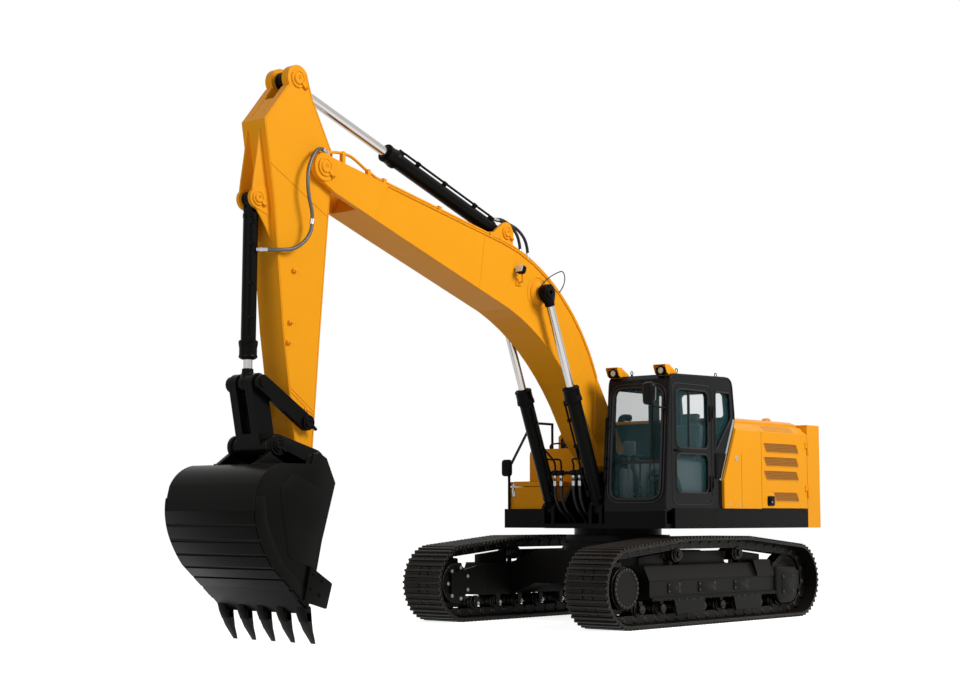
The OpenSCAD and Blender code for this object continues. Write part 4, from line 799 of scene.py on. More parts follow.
@dataclass
class Tracks:
    """Both crawler tracks: chain links, shoe bolts, drive covers, roller caps, guards and ridges."""

    gauge: float = 2.6
    end: tuple[float, float] = (1.98, 0.49)
    end_r: float = 0.462
    hump: tuple[float, float] = (0.70, 0.904)
    bend_r: float = 0.16
    shoes: int = 48
    chain_depth: float = 0.078
    link_half: float = 0.1
    link_r: float = 0.05
    roller_z: float = 0.2224
    roller_span: float = 3.1424
    rollers: int = 8
    frame_half: float = 0.165
    frame_side: float = 0.205
    frame_lip: float = 0.24
    frame_x: float = 1.445
    hub_face: float = 0.215
    cover_t: float = 0.04
    cover_r: float = 0.247
    cover_bolt_ring: float = 0.222
    cover_bolts: int = 24
    access_t: float = 0.01
    pad_t: float = 0.008
    ring_r: float = 0.705
    ring_z: float = 1.005

    def loop(self, count: int, phase: float) -> tuple[Array, Array]:
        """Even places round the outer face of the loop.

        Args:
            count: number of places.
            phase: where the first lies, in steps.

        Returns:
            Side-view points and outward normals.
        """
        end, hump = np.array(self.end), np.array(self.hump)
        gap = end - hump
        rise = math.atan2(gap[1], gap[0]) + math.acos((self.bend_r - self.end_r) / np.linalg.norm(gap))
        flip = np.array([-1.0, 1.0])
        arcs = [(end, self.end_r, -math.pi / 2, rise), (hump, self.bend_r, rise, math.pi / 2),
                (hump * flip, self.bend_r, math.pi / 2, math.pi - rise),
                (end * flip, self.end_r, math.pi - rise, 1.5 * math.pi)]
        points, normals = [end * flip - (0, self.end_r)], [np.array([0.0, -1.0])]
        for centre, r, a, b in arcs:
            t = np.linspace(a, b, 48)
            out = on_circle(t)
            points += list(centre + r * out)
            normals += list(out)
        points, normals = np.array(points), np.array(normals)
        run = run_along(points)
        at = (np.arange(count) + phase) * run[-1] / count
        mixed = [np.stack([np.interp(at, run, c) for c in a.T], axis=1) for a in (points, normals)]
        return mixed[0], unit(mixed[1])

    def chain(self, side: Side) -> None:
        """Link plates and pins on both faces of the chain.

        Args:
            side: side of the track.
        """
        mid = side.value * self.gauge / 2
        link, pin = Shell(), Shell()
        link.plate(linked((-self.link_half, 0), self.link_r, (self.link_half, 0), self.link_r, 8), (0, 0, 0),
                   X, Y, (0, 0, 0.014), 0.003, 1)
        pin.lathe((0, 0, 0), Z,
                  [(0, 0.031), (0.018, 0.031), (0.022, 0.022), (0.018, 0.018), (0.018, 0.0)], 12)
        shell = Shell()
        for master, phase in ((link, 0.5), (pin, 0.0)):
            points, normals = self.loop(self.shoes, phase)
            points = points - self.chain_depth * normals
            ahead = left_of(normals)
            for s in (-1, 1):
                shell.copies(master, at_side(points, mid + s * self.link_half), at_side(ahead, 0),
                             at_side(normals, 0), s * Y)
        shell.piece(f"chain_links_{side.label}", TRACK, "undercarriage")

    def shoe_bolts(self, side: Side) -> None:
        """Four bolt heads in the valleys of each shoe.

        Args:
            side: side of the track.
        """
        mid = side.value * self.gauge / 2
        points, normals = self.loop(3 * self.shoes, 0.0)
        keep = np.arange(len(points)) % 3 != 0
        head, shell = Shell(), Shell()
        head.lathe((0, 0, 0), Z, [(-0.002, 0.015), (0.012, 0.015), (0.014, 0.012)], 6)
        for y in (-0.07, 0.07):
            out = at_side(normals[keep], 0)
            ahead = np.stack([-out[:, 2], out[:, 1], out[:, 0]], axis=1)
            shell.copies(head, at_side(points[keep], mid + y), ahead, Y, out)
        shell.piece(f"shoe_bolts_{side.label}", TRACK, "undercarriage")

    def drive(self, side: Side) -> None:
        """Bolted cover of the final drive.

        Args:
            side: side of the track.
        """
        out, y = side.value * Y, side.value * (self.gauge / 2 + self.hub_face)
        face = y + side.value * self.cover_t
        shell, bolts = Shell(), Shell()
        t, r = self.cover_t, self.cover_r
        shell.lathe((self.end[0], y, self.end[1]), out, [(-0.01, r), (0.8 * t, r), (t, 0.24), (t, 0.203),
                                                         (0.93 * t, 0.2), (0.93 * t, 0.0)], 64)
        bolts.bolts(at_side(circle(self.end, self.cover_bolt_ring, self.cover_bolts), face), out, 0.0105)
        shell.piece(f"final_drive_cover_{side.label}", FRAME, "undercarriage")
        bolts.piece(f"final_drive_bolts_{side.label}", TRACK, "undercarriage")

    def frame_fittings(self, side: Side) -> None:
        """Roller caps, guard bolts, idler guards, access plates and weld beads on the track frame.

        Args:
            side: side of the track.
        """
        s, mid = side.value, side.value * self.gauge / 2
        wall, lip = mid + s * self.frame_side, mid + s * self.frame_lip
        access, pad = wall + s * self.access_t, lip + s * self.pad_t
        caps, plates, welds, inner = Shell(), Shell(), Shell(), Shell()
        xs = np.linspace(-self.roller_span / 2, self.roller_span / 2, self.rollers)
        for x in xs:
            caps.lathe((x, mid + s * self.frame_half, self.roller_z), s * Y,
                       [(0, 0.058), (0.02, 0.058), (0.028, 0.05), (0.028, 0.03), (0.036, 0.026)], 20)
        caps.bolts(np.concatenate([at_side(circle((x, self.roller_z), 0.043, 4),
                                           mid + s * (self.frame_half + 0.024)) for x in xs]), s * Y, 0.007)
        for x in (-0.74, 0.62):
            caps.bolts([(x + k, lip, 0.328) for k in (-0.24, -0.08, 0.08, 0.24)], s * Y, 0.011)
        for x, w in ((-0.62, 0.17), (0.18, 0.2), (0.92, 0.14)):
            plates.side_plate(rectangle(x - w, x + w, 0.40, 0.53, 0.03), wall, access)
            caps.bolts([(x + a * (w - 0.03), access, z) for a in (-1, 1) for z in (0.425, 0.505)],
                       s * Y, 0.009)
        for y, z in ((self.frame_side, 0.3624), (self.frame_side, 0.56), (0.125, 0.735)):
            welds.bead([(-self.frame_x, mid + s * y, z), (self.frame_x, mid + s * y, z)], 0.008)
        welds.bead([(-self.frame_x, lip, 0.3424), (self.frame_x, lip, 0.3424)], 0.013, 0.09)
        guard = softened([(-1.46, 0.30), (-1.55, 0.185), (-1.87, 0.185), (-2.01, 0.27), (-2.05, 0.54),
                          (-1.99, 0.665), (-1.50, 0.69), (-1.455, 0.64)][::-1], 0.05, 5)
        plates.side_plate(guard, mid + s * 0.12, lip, 0.03)
        plates.side_plate(rectangle(-1.93, -1.60, 0.30, 0.58, 0.04), lip, pad, 0.004)
        inner.bolts([(x, mid - s * (self.frame_half + 0.03), self.roller_z) for x in xs], -s * Y, 0.017)
        inner.bolts(at_side(circle(self.end, 0.20, 7), mid - s * (self.frame_half + 0.05)), -s * Y, 0.017)
        caps.bolts([(x, pad, z) for x in (-1.89, -1.64) for z in (0.34, 0.54)], s * Y, 0.012)
        name = side.label
        inner.piece(f"inner_bolts_{name}", ZINC, "undercarriage")
        caps.piece(f"roller_caps_{name}", TRACK, "undercarriage")
        plates.piece(f"frame_covers_{name}", FRAME, "undercarriage")
        welds.piece(f"track_frame_welds_{name}", FRAME, "undercarriage")

    def ridge(self, side: Side) -> None:
        """Mud-shedding ridge on top of the track frame, open round each carrier roller.

        Args:
            side: side of the track.
        """
        s, mid = side.value, side.value * self.gauge / 2
        shell = Shell()
        clear = self.hump[0] - 0.17, self.hump[0] + 0.17
        for x0, x1, z0, z1 in ((-clear[0], clear[0], 0.905, 0.905), (clear[1], 1.40, 0.895, 0.845),
                               (-1.40, -clear[1], 0.845, 0.895)):
            shell.side_plate([(x0, 0.72), (x1, 0.72), (x1, z1), (x0, z0)], mid - s * 0.10,
                             mid + s * 0.02, 0.012)
        shell.piece(f"track_frame_ridge_{side.label}", FRAME, "undercarriage")

    def slew_bolts(self) -> None:
        """Bolts round the foot of the slew bearing."""
        shell = Shell()
        ring = circle((0, 0), self.ring_r, 40)
        shell.bolts(np.insert(ring, 2, self.ring_z, axis=1), Z, 0.011)
        shell.piece("slew_ring_bolts", FRAME, "undercarriage")

    def build(self) -> None:
        """Dress both tracks."""
        for side in Side:
            self.chain(side)
            self.shoe_bolts(side)
            self.drive(side)
            self.frame_fittings(side)
            self.ridge(side)
        self.slew_bolts()


@dataclass
class House:
    """Bodywork of the upper structure: grilles, latches, vents, reflectors, mirror, toolbox and tank."""

    side_y: float = 1.495
    wall_low: float = 1.445
    shoulder_z: float = 2.47
    wall_top: float = 2.57
    shoulder_w: float = 0.11
    hood_z: float = 2.65
    grille_x: tuple[float, float] = (-2.18, -1.33)
    grille_skew: float = 0.07
    grille_shares: tuple[float, ...] = (0.74, 0.56, 0.38, 0.10)
    grille_h_share: float = 0.115
    wire_pitch: float = 0.02
    wire_r: float = 0.0046
    shade_sheet_y: tuple[float, float] = (1.4655, 1.469)
    # Span across the machine of the black sheet that paints the shade behind a grille
    wire_y: tuple[float, float] = (1.4885, 1.4895)
    blank_y: float = 1.478
    low_grille_end: float = -1.575
    tail_r: float = 3.14
    box_front: float = 0.512
    tank_top: float = 2.27
    right_mirror: tuple[float, float, float] = (0.596, -1.394, 2.0)

    def grilles(self, side: Side, body: str) -> None:
        """Woven wire, a black sheet behind it that paints the shade of the bay, and a rolled rim in each
        opening of a bay door.

        Args:
            side: side of the door.
            body: body of the door.
        """
        s = side.value
        wires, shade_sheets, rims = Shell(), Shell(), Shell()
        tall = self.shoulder_z - self.wall_low
        blank = Shell()
        x0 = self.grille_x[0]
        upright, level = (s * y for y in self.wire_y)
        for share in self.grille_shares:
            low = share == min(self.grille_shares)
            x1 = self.low_grille_end if low else self.grille_x[1]
            z0, z1 = (self.wall_low + tall * k for k in (share, share + self.grille_h_share))
            frame = np.array([(x0, z0), (x1, z0), (x1 + self.grille_skew, z1), (x0 + self.grille_skew, z1)])
            # Black sheet behind the wires: painted shade where the bay behind the grille is dark
            shade_sheets.side_plate(frame, *(s * y for y in self.shade_sheet_y), 0.0)
            for x in np.arange(x0 + self.wire_pitch / 2, x1, self.wire_pitch):
                wires.tube([(x, upright, z0), (x + self.grille_skew, upright, z1)], self.wire_r, 5)
            for z in np.arange(z0 + self.wire_pitch / 2, z1, self.wire_pitch):
                lean = self.grille_skew * (z - z0) / (z1 - z0)
                wires.tube([(x0 + lean, level, z), (x1 + lean, level, z)], self.wire_r, 5)
            rims.ring(at_side(softened(inset(frame, -0.004), 0.03), s * self.side_y), 0.006)
            if low:
                left = self.grille_x[1] + self.grille_skew
                blank.side_plate([(x1, z0), (left, z0), (left, z1), (x1 + self.grille_skew, z1)],
                                 s * self.blank_y, s * (self.side_y + 0.0008), 0.001)
        name = side.label
        # The wires take the brown grille finish, which paints the shade in the mesh
        wires.piece(f"grille_wires_{name}", MESH, body)
        shade_sheets.piece(f"grille_sheets_{name}", BLACK, body)
        rims.piece(f"grille_rims_{name}", YELLOW, body)
        blank.piece(f"latch_plate_{name}", YELLOW, body)

    def shoulder_vent(self, side: Side, body: str) -> None:
        """Slots in the slanted shoulder above a bay door, drawn as thin brown plates that paint the shade of
        their openings.

        Args:
            side: side of the door.
            body: body of the door.
        """
        s = side.value
        foot = np.array([self.side_y, self.shoulder_z])
        top = np.array([self.side_y - self.shoulder_w, self.wall_top])
        out = unit([(top - foot)[1], self.shoulder_w])
        shell = Shell()
        for k in np.linspace(0.16, 0.84, 5):
            y, z = foot + (top - foot) * k
            shell.plate(rectangle(-2.10, -1.30, -0.004, 0.004, 0.003, 2), (0, s * y, z), X,
                        unit([0, -s * self.shoulder_w, (top - foot)[1]]),
                        0.0016 * np.array([0, s * out[0], out[1]]), 0.0)
        shell.piece(f"shoulder_slots_{side.label}", MESH, body)

    def latches(self, side: Side, body: str) -> None:
        """Paddle latch of a bay door with its key plug.

        Args:
            side: side of the door.
            body: body of the door.
        """
        s = side.value
        dark, metal = Shell(), Shell()
        dark.pad(rectangle(-1.52, -1.34, 1.485, 1.615, 0.03), s * self.side_y, 0.012, 0.004)
        dark.pad(rectangle(-1.49, -1.37, 1.515, 1.60, 0.02), s * (self.side_y + 0.01), 0.012, 0.004)
        metal.lathe((-1.43, s * (self.side_y + 0.02), 1.535), s * Y,
                    [(0, 0.012), (0.004, 0.012), (0.005, 0.004)], 16)
        dark.piece(f"bay_latch_{side.label}", BLACK, body)
        metal.piece(f"bay_latch_key_{side.label}", ZINC, body)

    def fixed_fittings(self) -> None:
        """Locks, skirt bolts, panel gaps, reflectors, tank cap, tank rails and the right mirror."""
        dark, metal, red = Shell(), Shell(), Shell()
        for s, x in ((1, -0.575), (-1, -0.76)):
            metal.lathe((x, s * self.side_y, 2.096), s * Y,
                        [(0, 0.03), (0.006, 0.03), (0.01, 0.024), (0.01, 0.012), (0.004, 0.01)], 24)
            dark.bolts([(k, s * self.side_y, z) for k in np.linspace(-2.3, 0.3, 8) for z in (1.23, 1.405)],
                       s * Y, 0.008)
            metal.bolts([(k, s * self.side_y, 1.50) for k in (-0.42, -0.66)], s * Y, 0.009)
            dark.pad(rectangle(-0.705, -0.7, 1.46, 2.16, 0.001, 2), s * (self.side_y - 0.002), 0.0026, 0.0)
        for deg in (-25, 25):
            turn = math.radians(180 + deg)
            out = np.array([math.cos(turn), math.sin(turn), 0])
            across = np.cross(Z, out)
            for shell, a, h, lift in ((dark, 0.15, 0.055, 0.0), (red, 0.13, 0.04, 0.008)):
                shell.plate(rectangle(-a, a, -h, h, 0.02), out * (self.tail_r - 0.012 + lift) + (0, 0, 1.52),
                            across, Z, out * 0.014, 0.003)
        dark.lathe((-0.30, -1.0, self.tank_top), Z,
                   [(-0.01, 0.09), (0.03, 0.09), (0.034, 0.075), (0.05, 0.07), (0.056, 0.06)], 32)
        for x in (-0.52, -0.06):
            dark.tube(spline([(x, -0.72, self.tank_top - 0.01), (x, -0.72, self.tank_top + 0.05),
                              (x, -0.80, 2.345), (x, -1.1, 2.345), (x, -1.18, 2.32),
                              (x, -1.18, self.tank_top - 0.01)], 6), 0.012)
        dark.plate(rectangle(-0.08, 0.08, -0.115, 0.115, 0.05), self.right_mirror, Y, Z,
                   (0.07, 0, 0), 0.03, 5)
        glass = Shell()
        x, y, z = self.right_mirror
        glass.plate(rectangle(-0.055, 0.055, -0.09, 0.09, 0.03), (x - 0.002, y, z), Y, Z,
                    (0.005, 0, 0), 0.001)
        glass.piece("right_mirror_glass", MIRROR, "house")
        dark.piece("house_fittings", BLACK, "house")
        metal.piece("house_bolts", ZINC, "house")
        red.piece("rear_reflectors", RED, "house")

    def hood_fittings(self) -> None:
        """Vent ribs, low exhaust outlet and grab handle on the engine hood."""
        ribs, dark = Shell(), Shell()
        for y in (-0.72, 0.28):
            for x in np.linspace(-2.15, -1.35, 9):
                ribs.block((x - 0.03, y - 0.24, self.hood_z - 0.01),
                           (x + 0.03, y + 0.24, self.hood_z + 0.016), 0.007)
        dark.tube(spline([(-1.0, -0.65, 2.62), (-1.0, -0.65, 2.68), (-1.03, -0.65, 2.72),
                          (-1.10, -0.65, 2.735), (-1.2, -0.65, 2.735)], 8), 0.05, 24)
        for y in (-0.1, 0.1):
            dark.lathe((-2.33, y, self.hood_z - 0.005), Z, [(0, 0.02), (0.04, 0.014)], 14)
        dark.tube([(-2.33, -0.1, self.hood_z + 0.035), (-2.33, 0.1, self.hood_z + 0.035)], 0.011, 12)
        ribs.piece("hood_vent_ribs", YELLOW, "engine_hood")
        dark.piece("hood_exhaust_and_handle", BLACK, "engine_hood")

    def toolbox_fittings(self) -> None:
        """Draw latches on the toolbox front and a tread plate on its lid."""
        latch, base, tread = Shell(), Shell(), Shell()
        for y in (-1.375, -0.836):
            latch.block((self.box_front - 0.002, y - 0.022, 1.752),
                        (self.box_front + 0.012, y + 0.022, 1.79), 0.004)
            latch.tube(spline([(0.520, y - 0.016, 1.77), (0.524, y - 0.018, 1.755)], 2), 0.004, 8)
            base.block((self.box_front - 0.002, y - 0.03, 1.615),
                       (self.box_front + 0.01, y + 0.03, 1.69), 0.004)
            base.block((self.box_front + 0.006, y - 0.014, 1.64),
                       (self.box_front + 0.022, y + 0.014, 1.735), 0.005)
            base.ring([(0.521, y + 0.018 * math.cos(a), 1.728 + 0.016 * math.sin(a))
                       for a in np.linspace(0, 2 * np.pi, 16, endpoint=False)], 0.0035, 6)
        for x in np.linspace(0.15, 0.46, 9):
            tread.block((x - 0.008, -1.40, 1.808), (x + 0.008, -0.78, 1.8165), 0.002)
        latch.piece("toolbox_keepers", ZINC, "toolbox_lid")
        tread.piece("toolbox_tread", BLACK, "toolbox_lid")
        base.piece("toolbox_latches", ZINC, "house")

    def build(self) -> None:
        """Dress the house."""
        for side, body in ((Side.LEFT, "left_door"), (Side.RIGHT, "right_door")):
            self.grilles(side, body)
            self.shoulder_vent(side, body)
            self.latches(side, body)
        self.fixed_fittings()
        self.hood_fittings()
        self.toolbox_fittings()


@dataclass
class Cab:
    """Operator's cab: seals, wiper, handles, mirror, hooded lamps and the seat with its levers."""

    outer_y: float = 1.45
    inner_y: float = 0.525
    foot: tuple[float, float] = (1.015, 1.405)
    brow: tuple[float, float] = (0.89, 3.06)
    screen: tuple[float, float, float, float] = (0.609, 1.366, 1.56, 2.96)
    screen_corner: float = 0.15
    bar_z: float = 2.02
    seat_mid: float = 0.9875
    rail_y: float = 0.545
    lamp_ys: tuple[float, float] = (0.60, 1.335)

    def front(self, y: float, z: float, out: float = 0.0) -> Array:
        """Point on the sloped front face of the cab."""
        share = (z - self.foot[1]) / (self.brow[1] - self.foot[1])
        return np.array([self.foot[0] + (self.brow[0] - self.foot[0]) * share + out, y, z])

    def seals(self) -> None:
        """Rubber round the windscreen, the quarter panes and the door panes."""
        fixed, door, frame = Shell(), Shell(), Shell()
        y0, y1, z0, z1 = self.screen
        for grow, r in ((0.002, 0.02), (0.045, 0.012)):
            ring = rectangle(y0 - grow, y1 + grow, z0 - grow, z1 + grow, self.screen_corner + grow, 8)
            fixed.ring([self.front(y, z, 0.002) for y, z in ring], r)
        quarter = softened([(-0.53, 2.62), (-0.15, 2.18), (-0.15, 2.95), (-0.5, 2.95)], 0.05)
        for y in (self.outer_y, self.inner_y):
            fixed.ring(at_side(quarter, y), 0.012)
        fixed.ring(at_side(rectangle(0.0, 0.84, 2.13, 2.96, 0.1), self.inner_y), 0.012)
        fixed.ring(at_side(rectangle(-0.07, 0.84, 1.49, 3.01, 0.12, 8), self.outer_y), 0.008)
        for z0, z1 in ((2.20, 2.94), (1.64, 2.13)):
            door.ring(at_side(rectangle(0.025, 0.755, z0, z1, 0.11, 8), self.outer_y), 0.011)
        door.block((0.405, 1.405, 2.205), (0.435, 1.432, 2.935), 0.004)
        door.block((0.06, 1.405, 2.545), (0.42, 1.428, 2.565), 0.003)
        low, high = self.front(y0, self.bar_z - 0.02), self.front(y1, self.bar_z + 0.02)
        fixed.block((low[0] - 0.055, y0 + 0.002, low[2]), (high[0] - 0.008, y1 - 0.002, high[2]), 0.005)
        outline = softened([(1.008, 1.43), (0.884, 3.055), (0.826, 3.114), (-0.468, 3.144), (-0.554, 3.086),
                            (-0.614, 2.6), (-0.264, 1.806), (-0.246, 1.43)], 0.09, 6)
        for y in (self.outer_y - 0.004, self.inner_y + 0.004):
            frame.ring(at_side(outline, y), 0.014, 8)
        fixed.piece("cab_glazing_seals", SEAL, "house")
        door.piece("door_glazing_seals", SEAL, "cab_door")
        frame.piece("cab_frame_beads", CAB_BLACK, "house")

    def fittings(self) -> None:
        """Wiper, grab rail, door handle and hinges, trim strip, roof eyes and roof seam."""
        dark, door, trim, metal = Shell(), Shell(), Shell(), Shell()
        pivot = self.front(1.31, 1.62, 0.012)
        dark.lathe(pivot - (0.03, 0, 0), X, [(0, 0.02), (0.04, 0.016)], 14)
        tip = self.front(1.24, 2.42, 0.022)
        dark.tube([pivot, (pivot + tip) / 2 + (0.012, 0, 0), tip], 0.006, 8)
        dark.tube([self.front(1.225, z, 0.010) for z in (2.05, 2.3, 2.55, 2.86)], 0.008, 8)
        rail = ((1.75, 0.0), (1.78, 0.05), (1.86, 0.06), (2.5, 0.06), (2.58, 0.05), (2.61, 0.0))
        dark.tube(spline([self.front(self.rail_y, z, out) for z, out in rail], 6), 0.013)
        for z in (1.93, 2.05, 2.44, 2.56):
            dark.block(self.front(0.53, z, -0.01), self.front(0.56, z + 0.05, 0.035), 0.006)
        door.pad(rectangle(0.62, 0.79, 2.145, 2.185, 0.018), self.outer_y, 0.012, 0.004)
        door.tube(spline([(0.64, 1.455, 2.165), (0.65, 1.485, 2.165), (0.72, 1.49, 2.165),
                          (0.77, 1.488, 2.165), (0.78, 1.455, 2.165)], 5), 0.009)
        for z in (1.74, 2.64):
            door.block((-0.026, self.outer_y - 0.002, z - 0.09),
                       (0.014, self.outer_y + 0.026, z + 0.12), 0.01)
        strip = np.array([(-0.27, 1.80), (-0.62, 2.60)])
        edges = np.concatenate([strip + (0.010, 0.0), (strip + (0.048, 0.012))[::-1]])
        trim.pad(softened(edges, 0.01, 2), self.outer_y, 0.008, 0.002)
        post = softened([(-0.25, 1.82), (-0.13, 1.82), (-0.13, 2.16), (-0.395, 2.16)], 0.03)
        dark.pad(post, self.outer_y, 0.01, 0.004)
        for x, y in ((0.55, 1.33), (-0.36, 1.33), (0.55, 0.64), (-0.36, 0.64)):
            metal.lathe((x, y, 3.12), Z, [(0, 0.014), (0.045, 0.014), (0.05, 0.010)], 12)
            metal.ring(at_side(circle((x, 3.185), 0.024, 20), y), 0.006)
        roof = rectangle(-0.30, 0.52, 0.70, 1.27, 0.06)
        rows = np.stack([roof[:, 0], roof[:, 1], 3.1255 - (roof[:, 0] - 0.83) * 0.0231 + 0.004], axis=1)
        dark.ring(rows, 0.01)
        dark.piece("cab_wiper_and_rail", BLACK, "house")
        door.piece("cab_door_handle", BLACK, "cab_door")
        trim.piece("cab_trim_strip", TRIM, "house")
        metal.piece("cab_roof_eyes", BLACK, "house")

    def mirror(self) -> None:
        """Left mirror on its bent arm."""
        arm, head, glass = Shell(), Shell(), Shell()
        arm.tube(spline([(0.94, 1.43, 2.687), (1.03, 1.44, 2.687), (1.18, 1.445, 2.69), (1.28, 1.45, 2.715),
                         (1.325, 1.45, 2.78), (1.325, 1.45, 2.86)], 6), 0.012)
        arm.block((0.912, 1.412, 2.647), (0.958, 1.448, 2.727), 0.006)
        head.plate(softened([(1.37, 2.70), (1.53, 2.715), (1.54, 2.945), (1.50, 2.987), (1.39, 2.982),
                             (1.36, 2.93)], 0.06, 6), (1.287, 0, 0), Y, Z, (0.094, 0, 0), 0.042, 6)
        glass.plate(softened([(1.385, 2.73), (1.515, 2.745), (1.522, 2.94), (1.40, 2.955)], 0.04, 5),
                    (1.285, 0, 0), Y, Z, (0.006, 0, 0), 0.001)
        made = arm.piece("left_mirror_arm", BLACK, "house")
        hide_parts("left_mirror")
        head.piece("left_mirror_shell", CAB_BLACK, "house", 60)
        glass.piece("left_mirror_glass", MIRROR, "house")

    def lamps(self) -> None:
        """Hooded work lamps on the roof's front corners."""
        hood, bezel, lens = Shell(), Shell(), Shell()
        for y in self.lamp_ys:
            hood.side_plate(softened([(0.655, 3.104), (0.86, 3.10), (0.90, 3.213), (0.893, 3.228),
                                      (0.815, 3.228), (0.665, 3.15)], 0.014, 3), y - 0.086, y + 0.086, 0.01)
            for k in (-1, 1):
                hood.side_plate(softened([(0.835, 3.108), (0.90, 3.123), (0.945, 3.213), (0.94, 3.228),
                                          (0.835, 3.228)], 0.012, 3), y + k * 0.092, y + k * 0.084, 0.003)
            hood.plate(rectangle(-0.09, 0.09, 0, 0.13, 0.01), (0.82, y, 3.2275), Y, X, (0, 0, 0.008), 0.003)
            bezel.block((0.845, y - 0.083, 3.104), (0.90, y + 0.083, 3.216), 0.012)
            bezel.lathe((0.89, y, 3.162), X,
                        [(0, 0.056), (0.024, 0.058), (0.03, 0.054), (0.03, 0.047), (0.022, 0.045)], 32)
            lens.lathe((0.895, y, 3.162), X, [(0.0, 0.046), (0.014, 0.046), (0.02, 0.03), (0.023, 0.004)], 28)
        made = hood.piece("roof_lamp_hoods", YELLOW, "house")
        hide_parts("roof_lamps")
        bezel.piece("roof_lamp_bezels", BLACK, "house")
        lens.piece("roof_lamp_lenses", LENS, "house")

    def cushion(self, name: str, centre: Array, along: Array, across: Array, deep: Array,
                channels: int) -> None:
        """One crowned pad, closed, with sewn channels across its face.

        Args:
            name: name of the pad.
            centre: its middle.
            along, across, deep: half sizes as vectors; the face is on the deep side.
            channels: number of sewn lines along it.
        """
        eta = np.linspace(-np.pi / 2, np.pi / 2, 41)[1:-1, None]
        omega = np.linspace(0, 2 * np.pi, 96, endpoint=False)[None, :]

        def power(wave: Array, e: float) -> Array:
            """Power that keeps the sign, which squares a round section."""
            return np.sign(wave) * np.abs(wave) ** e

        a, b = (power(np.cos(eta), 0.32) * power(wave, 0.28) for wave in (np.cos(omega), np.sin(omega)))
        c = power(np.sin(eta), 0.5) * np.ones_like(omega)
        pull = 1 - 0.06 * (1 - a ** 2) * (np.abs(b) > 0.5) - 0.03 * (1 - b ** 2)
        sew = 1 - 0.14 * np.exp(-((np.mod((a + 1) / 2 * channels, 1) - 0.5) / 0.07) ** 2) * (np.abs(b) < 0.75)
        c = np.where(c > 0, c * sew * (1 - 0.12 * (a ** 2 + b ** 2)), c)
        rows = (np.asarray(centre) + (a * pull)[..., None] * along + (b * pull)[..., None] * across
                + c[..., None] * np.asarray(deep))
        shell = Shell()
        shell.grid(rows)
        made = shell.piece(name, VINYL, "house", 60)

    def inside(self) -> None:
        """Seat, consoles, levers, pedals and monitor."""
        mid = self.seat_mid
        base, levers, screen = Shell(), Shell(), Shell()
        self.cushion("seat_cushion", (0.17, mid, 1.905), np.array([0.23, 0, 0.012]), np.array([0, 0.225, 0]),
                     np.array([0, 0, 0.062]), 4)
        self.cushion("seat_back_pad", (-0.185, mid, 2.22), np.array([-0.07, 0, 0.33]),
                     np.array([0, 0.215, 0]), np.array([0.062, 0, 0.012]), 5)
        self.cushion("seat_head_pad", (-0.272, mid, 2.61), np.array([-0.012, 0, 0.075]),
                     np.array([0, 0.14, 0]), np.array([0.04, 0, 0.006]), 1)
        base.block((-0.07, mid - 0.12, 1.466), (0.28, mid + 0.12, 1.82), 0.02)
        base.block((-0.09, mid - 0.21, 1.80), (0.37, mid + 0.21, 1.845), 0.012)
        for s in (-1, 1):
            y, pedal, lever = mid + s * 0.305, mid + s * 0.07, mid + s * 0.08
            base.side_plate(softened([(-0.07, 1.467), (0.42, 1.467), (0.50, 1.72), (0.638, 1.95),
                                      (0.62, 2.05), (0.45, 2.065), (-0.07, 2.03)], 0.05), y - 0.06,
                            y + 0.06, 0.015)
            levers.tube(spline([(0.54, y, 2.05), (0.55, y, 2.10), (0.545, y, 2.17),
                                (0.53, y, 2.22)], 4), 0.012)
            levers.lathe((0.536, y, 2.16), (-0.1, 0, 1),
                         [(0, 0.02), (0.03, 0.027), (0.08, 0.024), (0.105, 0.028), (0.12, 0.018)], 18)
            levers.lathe((0.545, y, 2.045), Z, [(0, 0.05), (0.02, 0.045), (0.045, 0.024), (0.06, 0.016)], 20)
            levers.tube(spline([(0.78, pedal, 1.47), (0.80, pedal, 1.62), (0.78, pedal, 1.9),
                                (0.76, lever, 2.02)], 5), 0.011)
            levers.lathe((0.76, lever, 1.99), Z, [(0, 0.016), (0.03, 0.022), (0.06, 0.02), (0.07, 0.01)], 16)
            levers.block((0.76, pedal - 0.045, 1.475), (0.85, pedal + 0.045, 1.50), 0.006)
        screen.plate(rectangle(0.62, 0.80, 2.12, 2.30, 0.02), (0.70, 0, 0), Y, Z, (0.035, 0, 0), 0.006)
        screen.tube([(0.72, 0.70, 1.47), (0.715, 0.70, 1.9), (0.715, 0.70, 2.14)], 0.016)
        screen.block((0.60, 0.60, 1.467), (0.80, 0.69, 1.95), 0.02)
        made = base.piece("seat_base_and_consoles", PLASTIC, "house")
        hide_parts("cab_seat")
        levers.piece("cab_levers", SEAL, "house")
        screen.piece("cab_monitor", PLASTIC, "house")

    def build(self) -> None:
        """Dress the cab."""
        self.seals()
        self.fittings()
        self.mirror()
        self.lamps()
        self.inside()


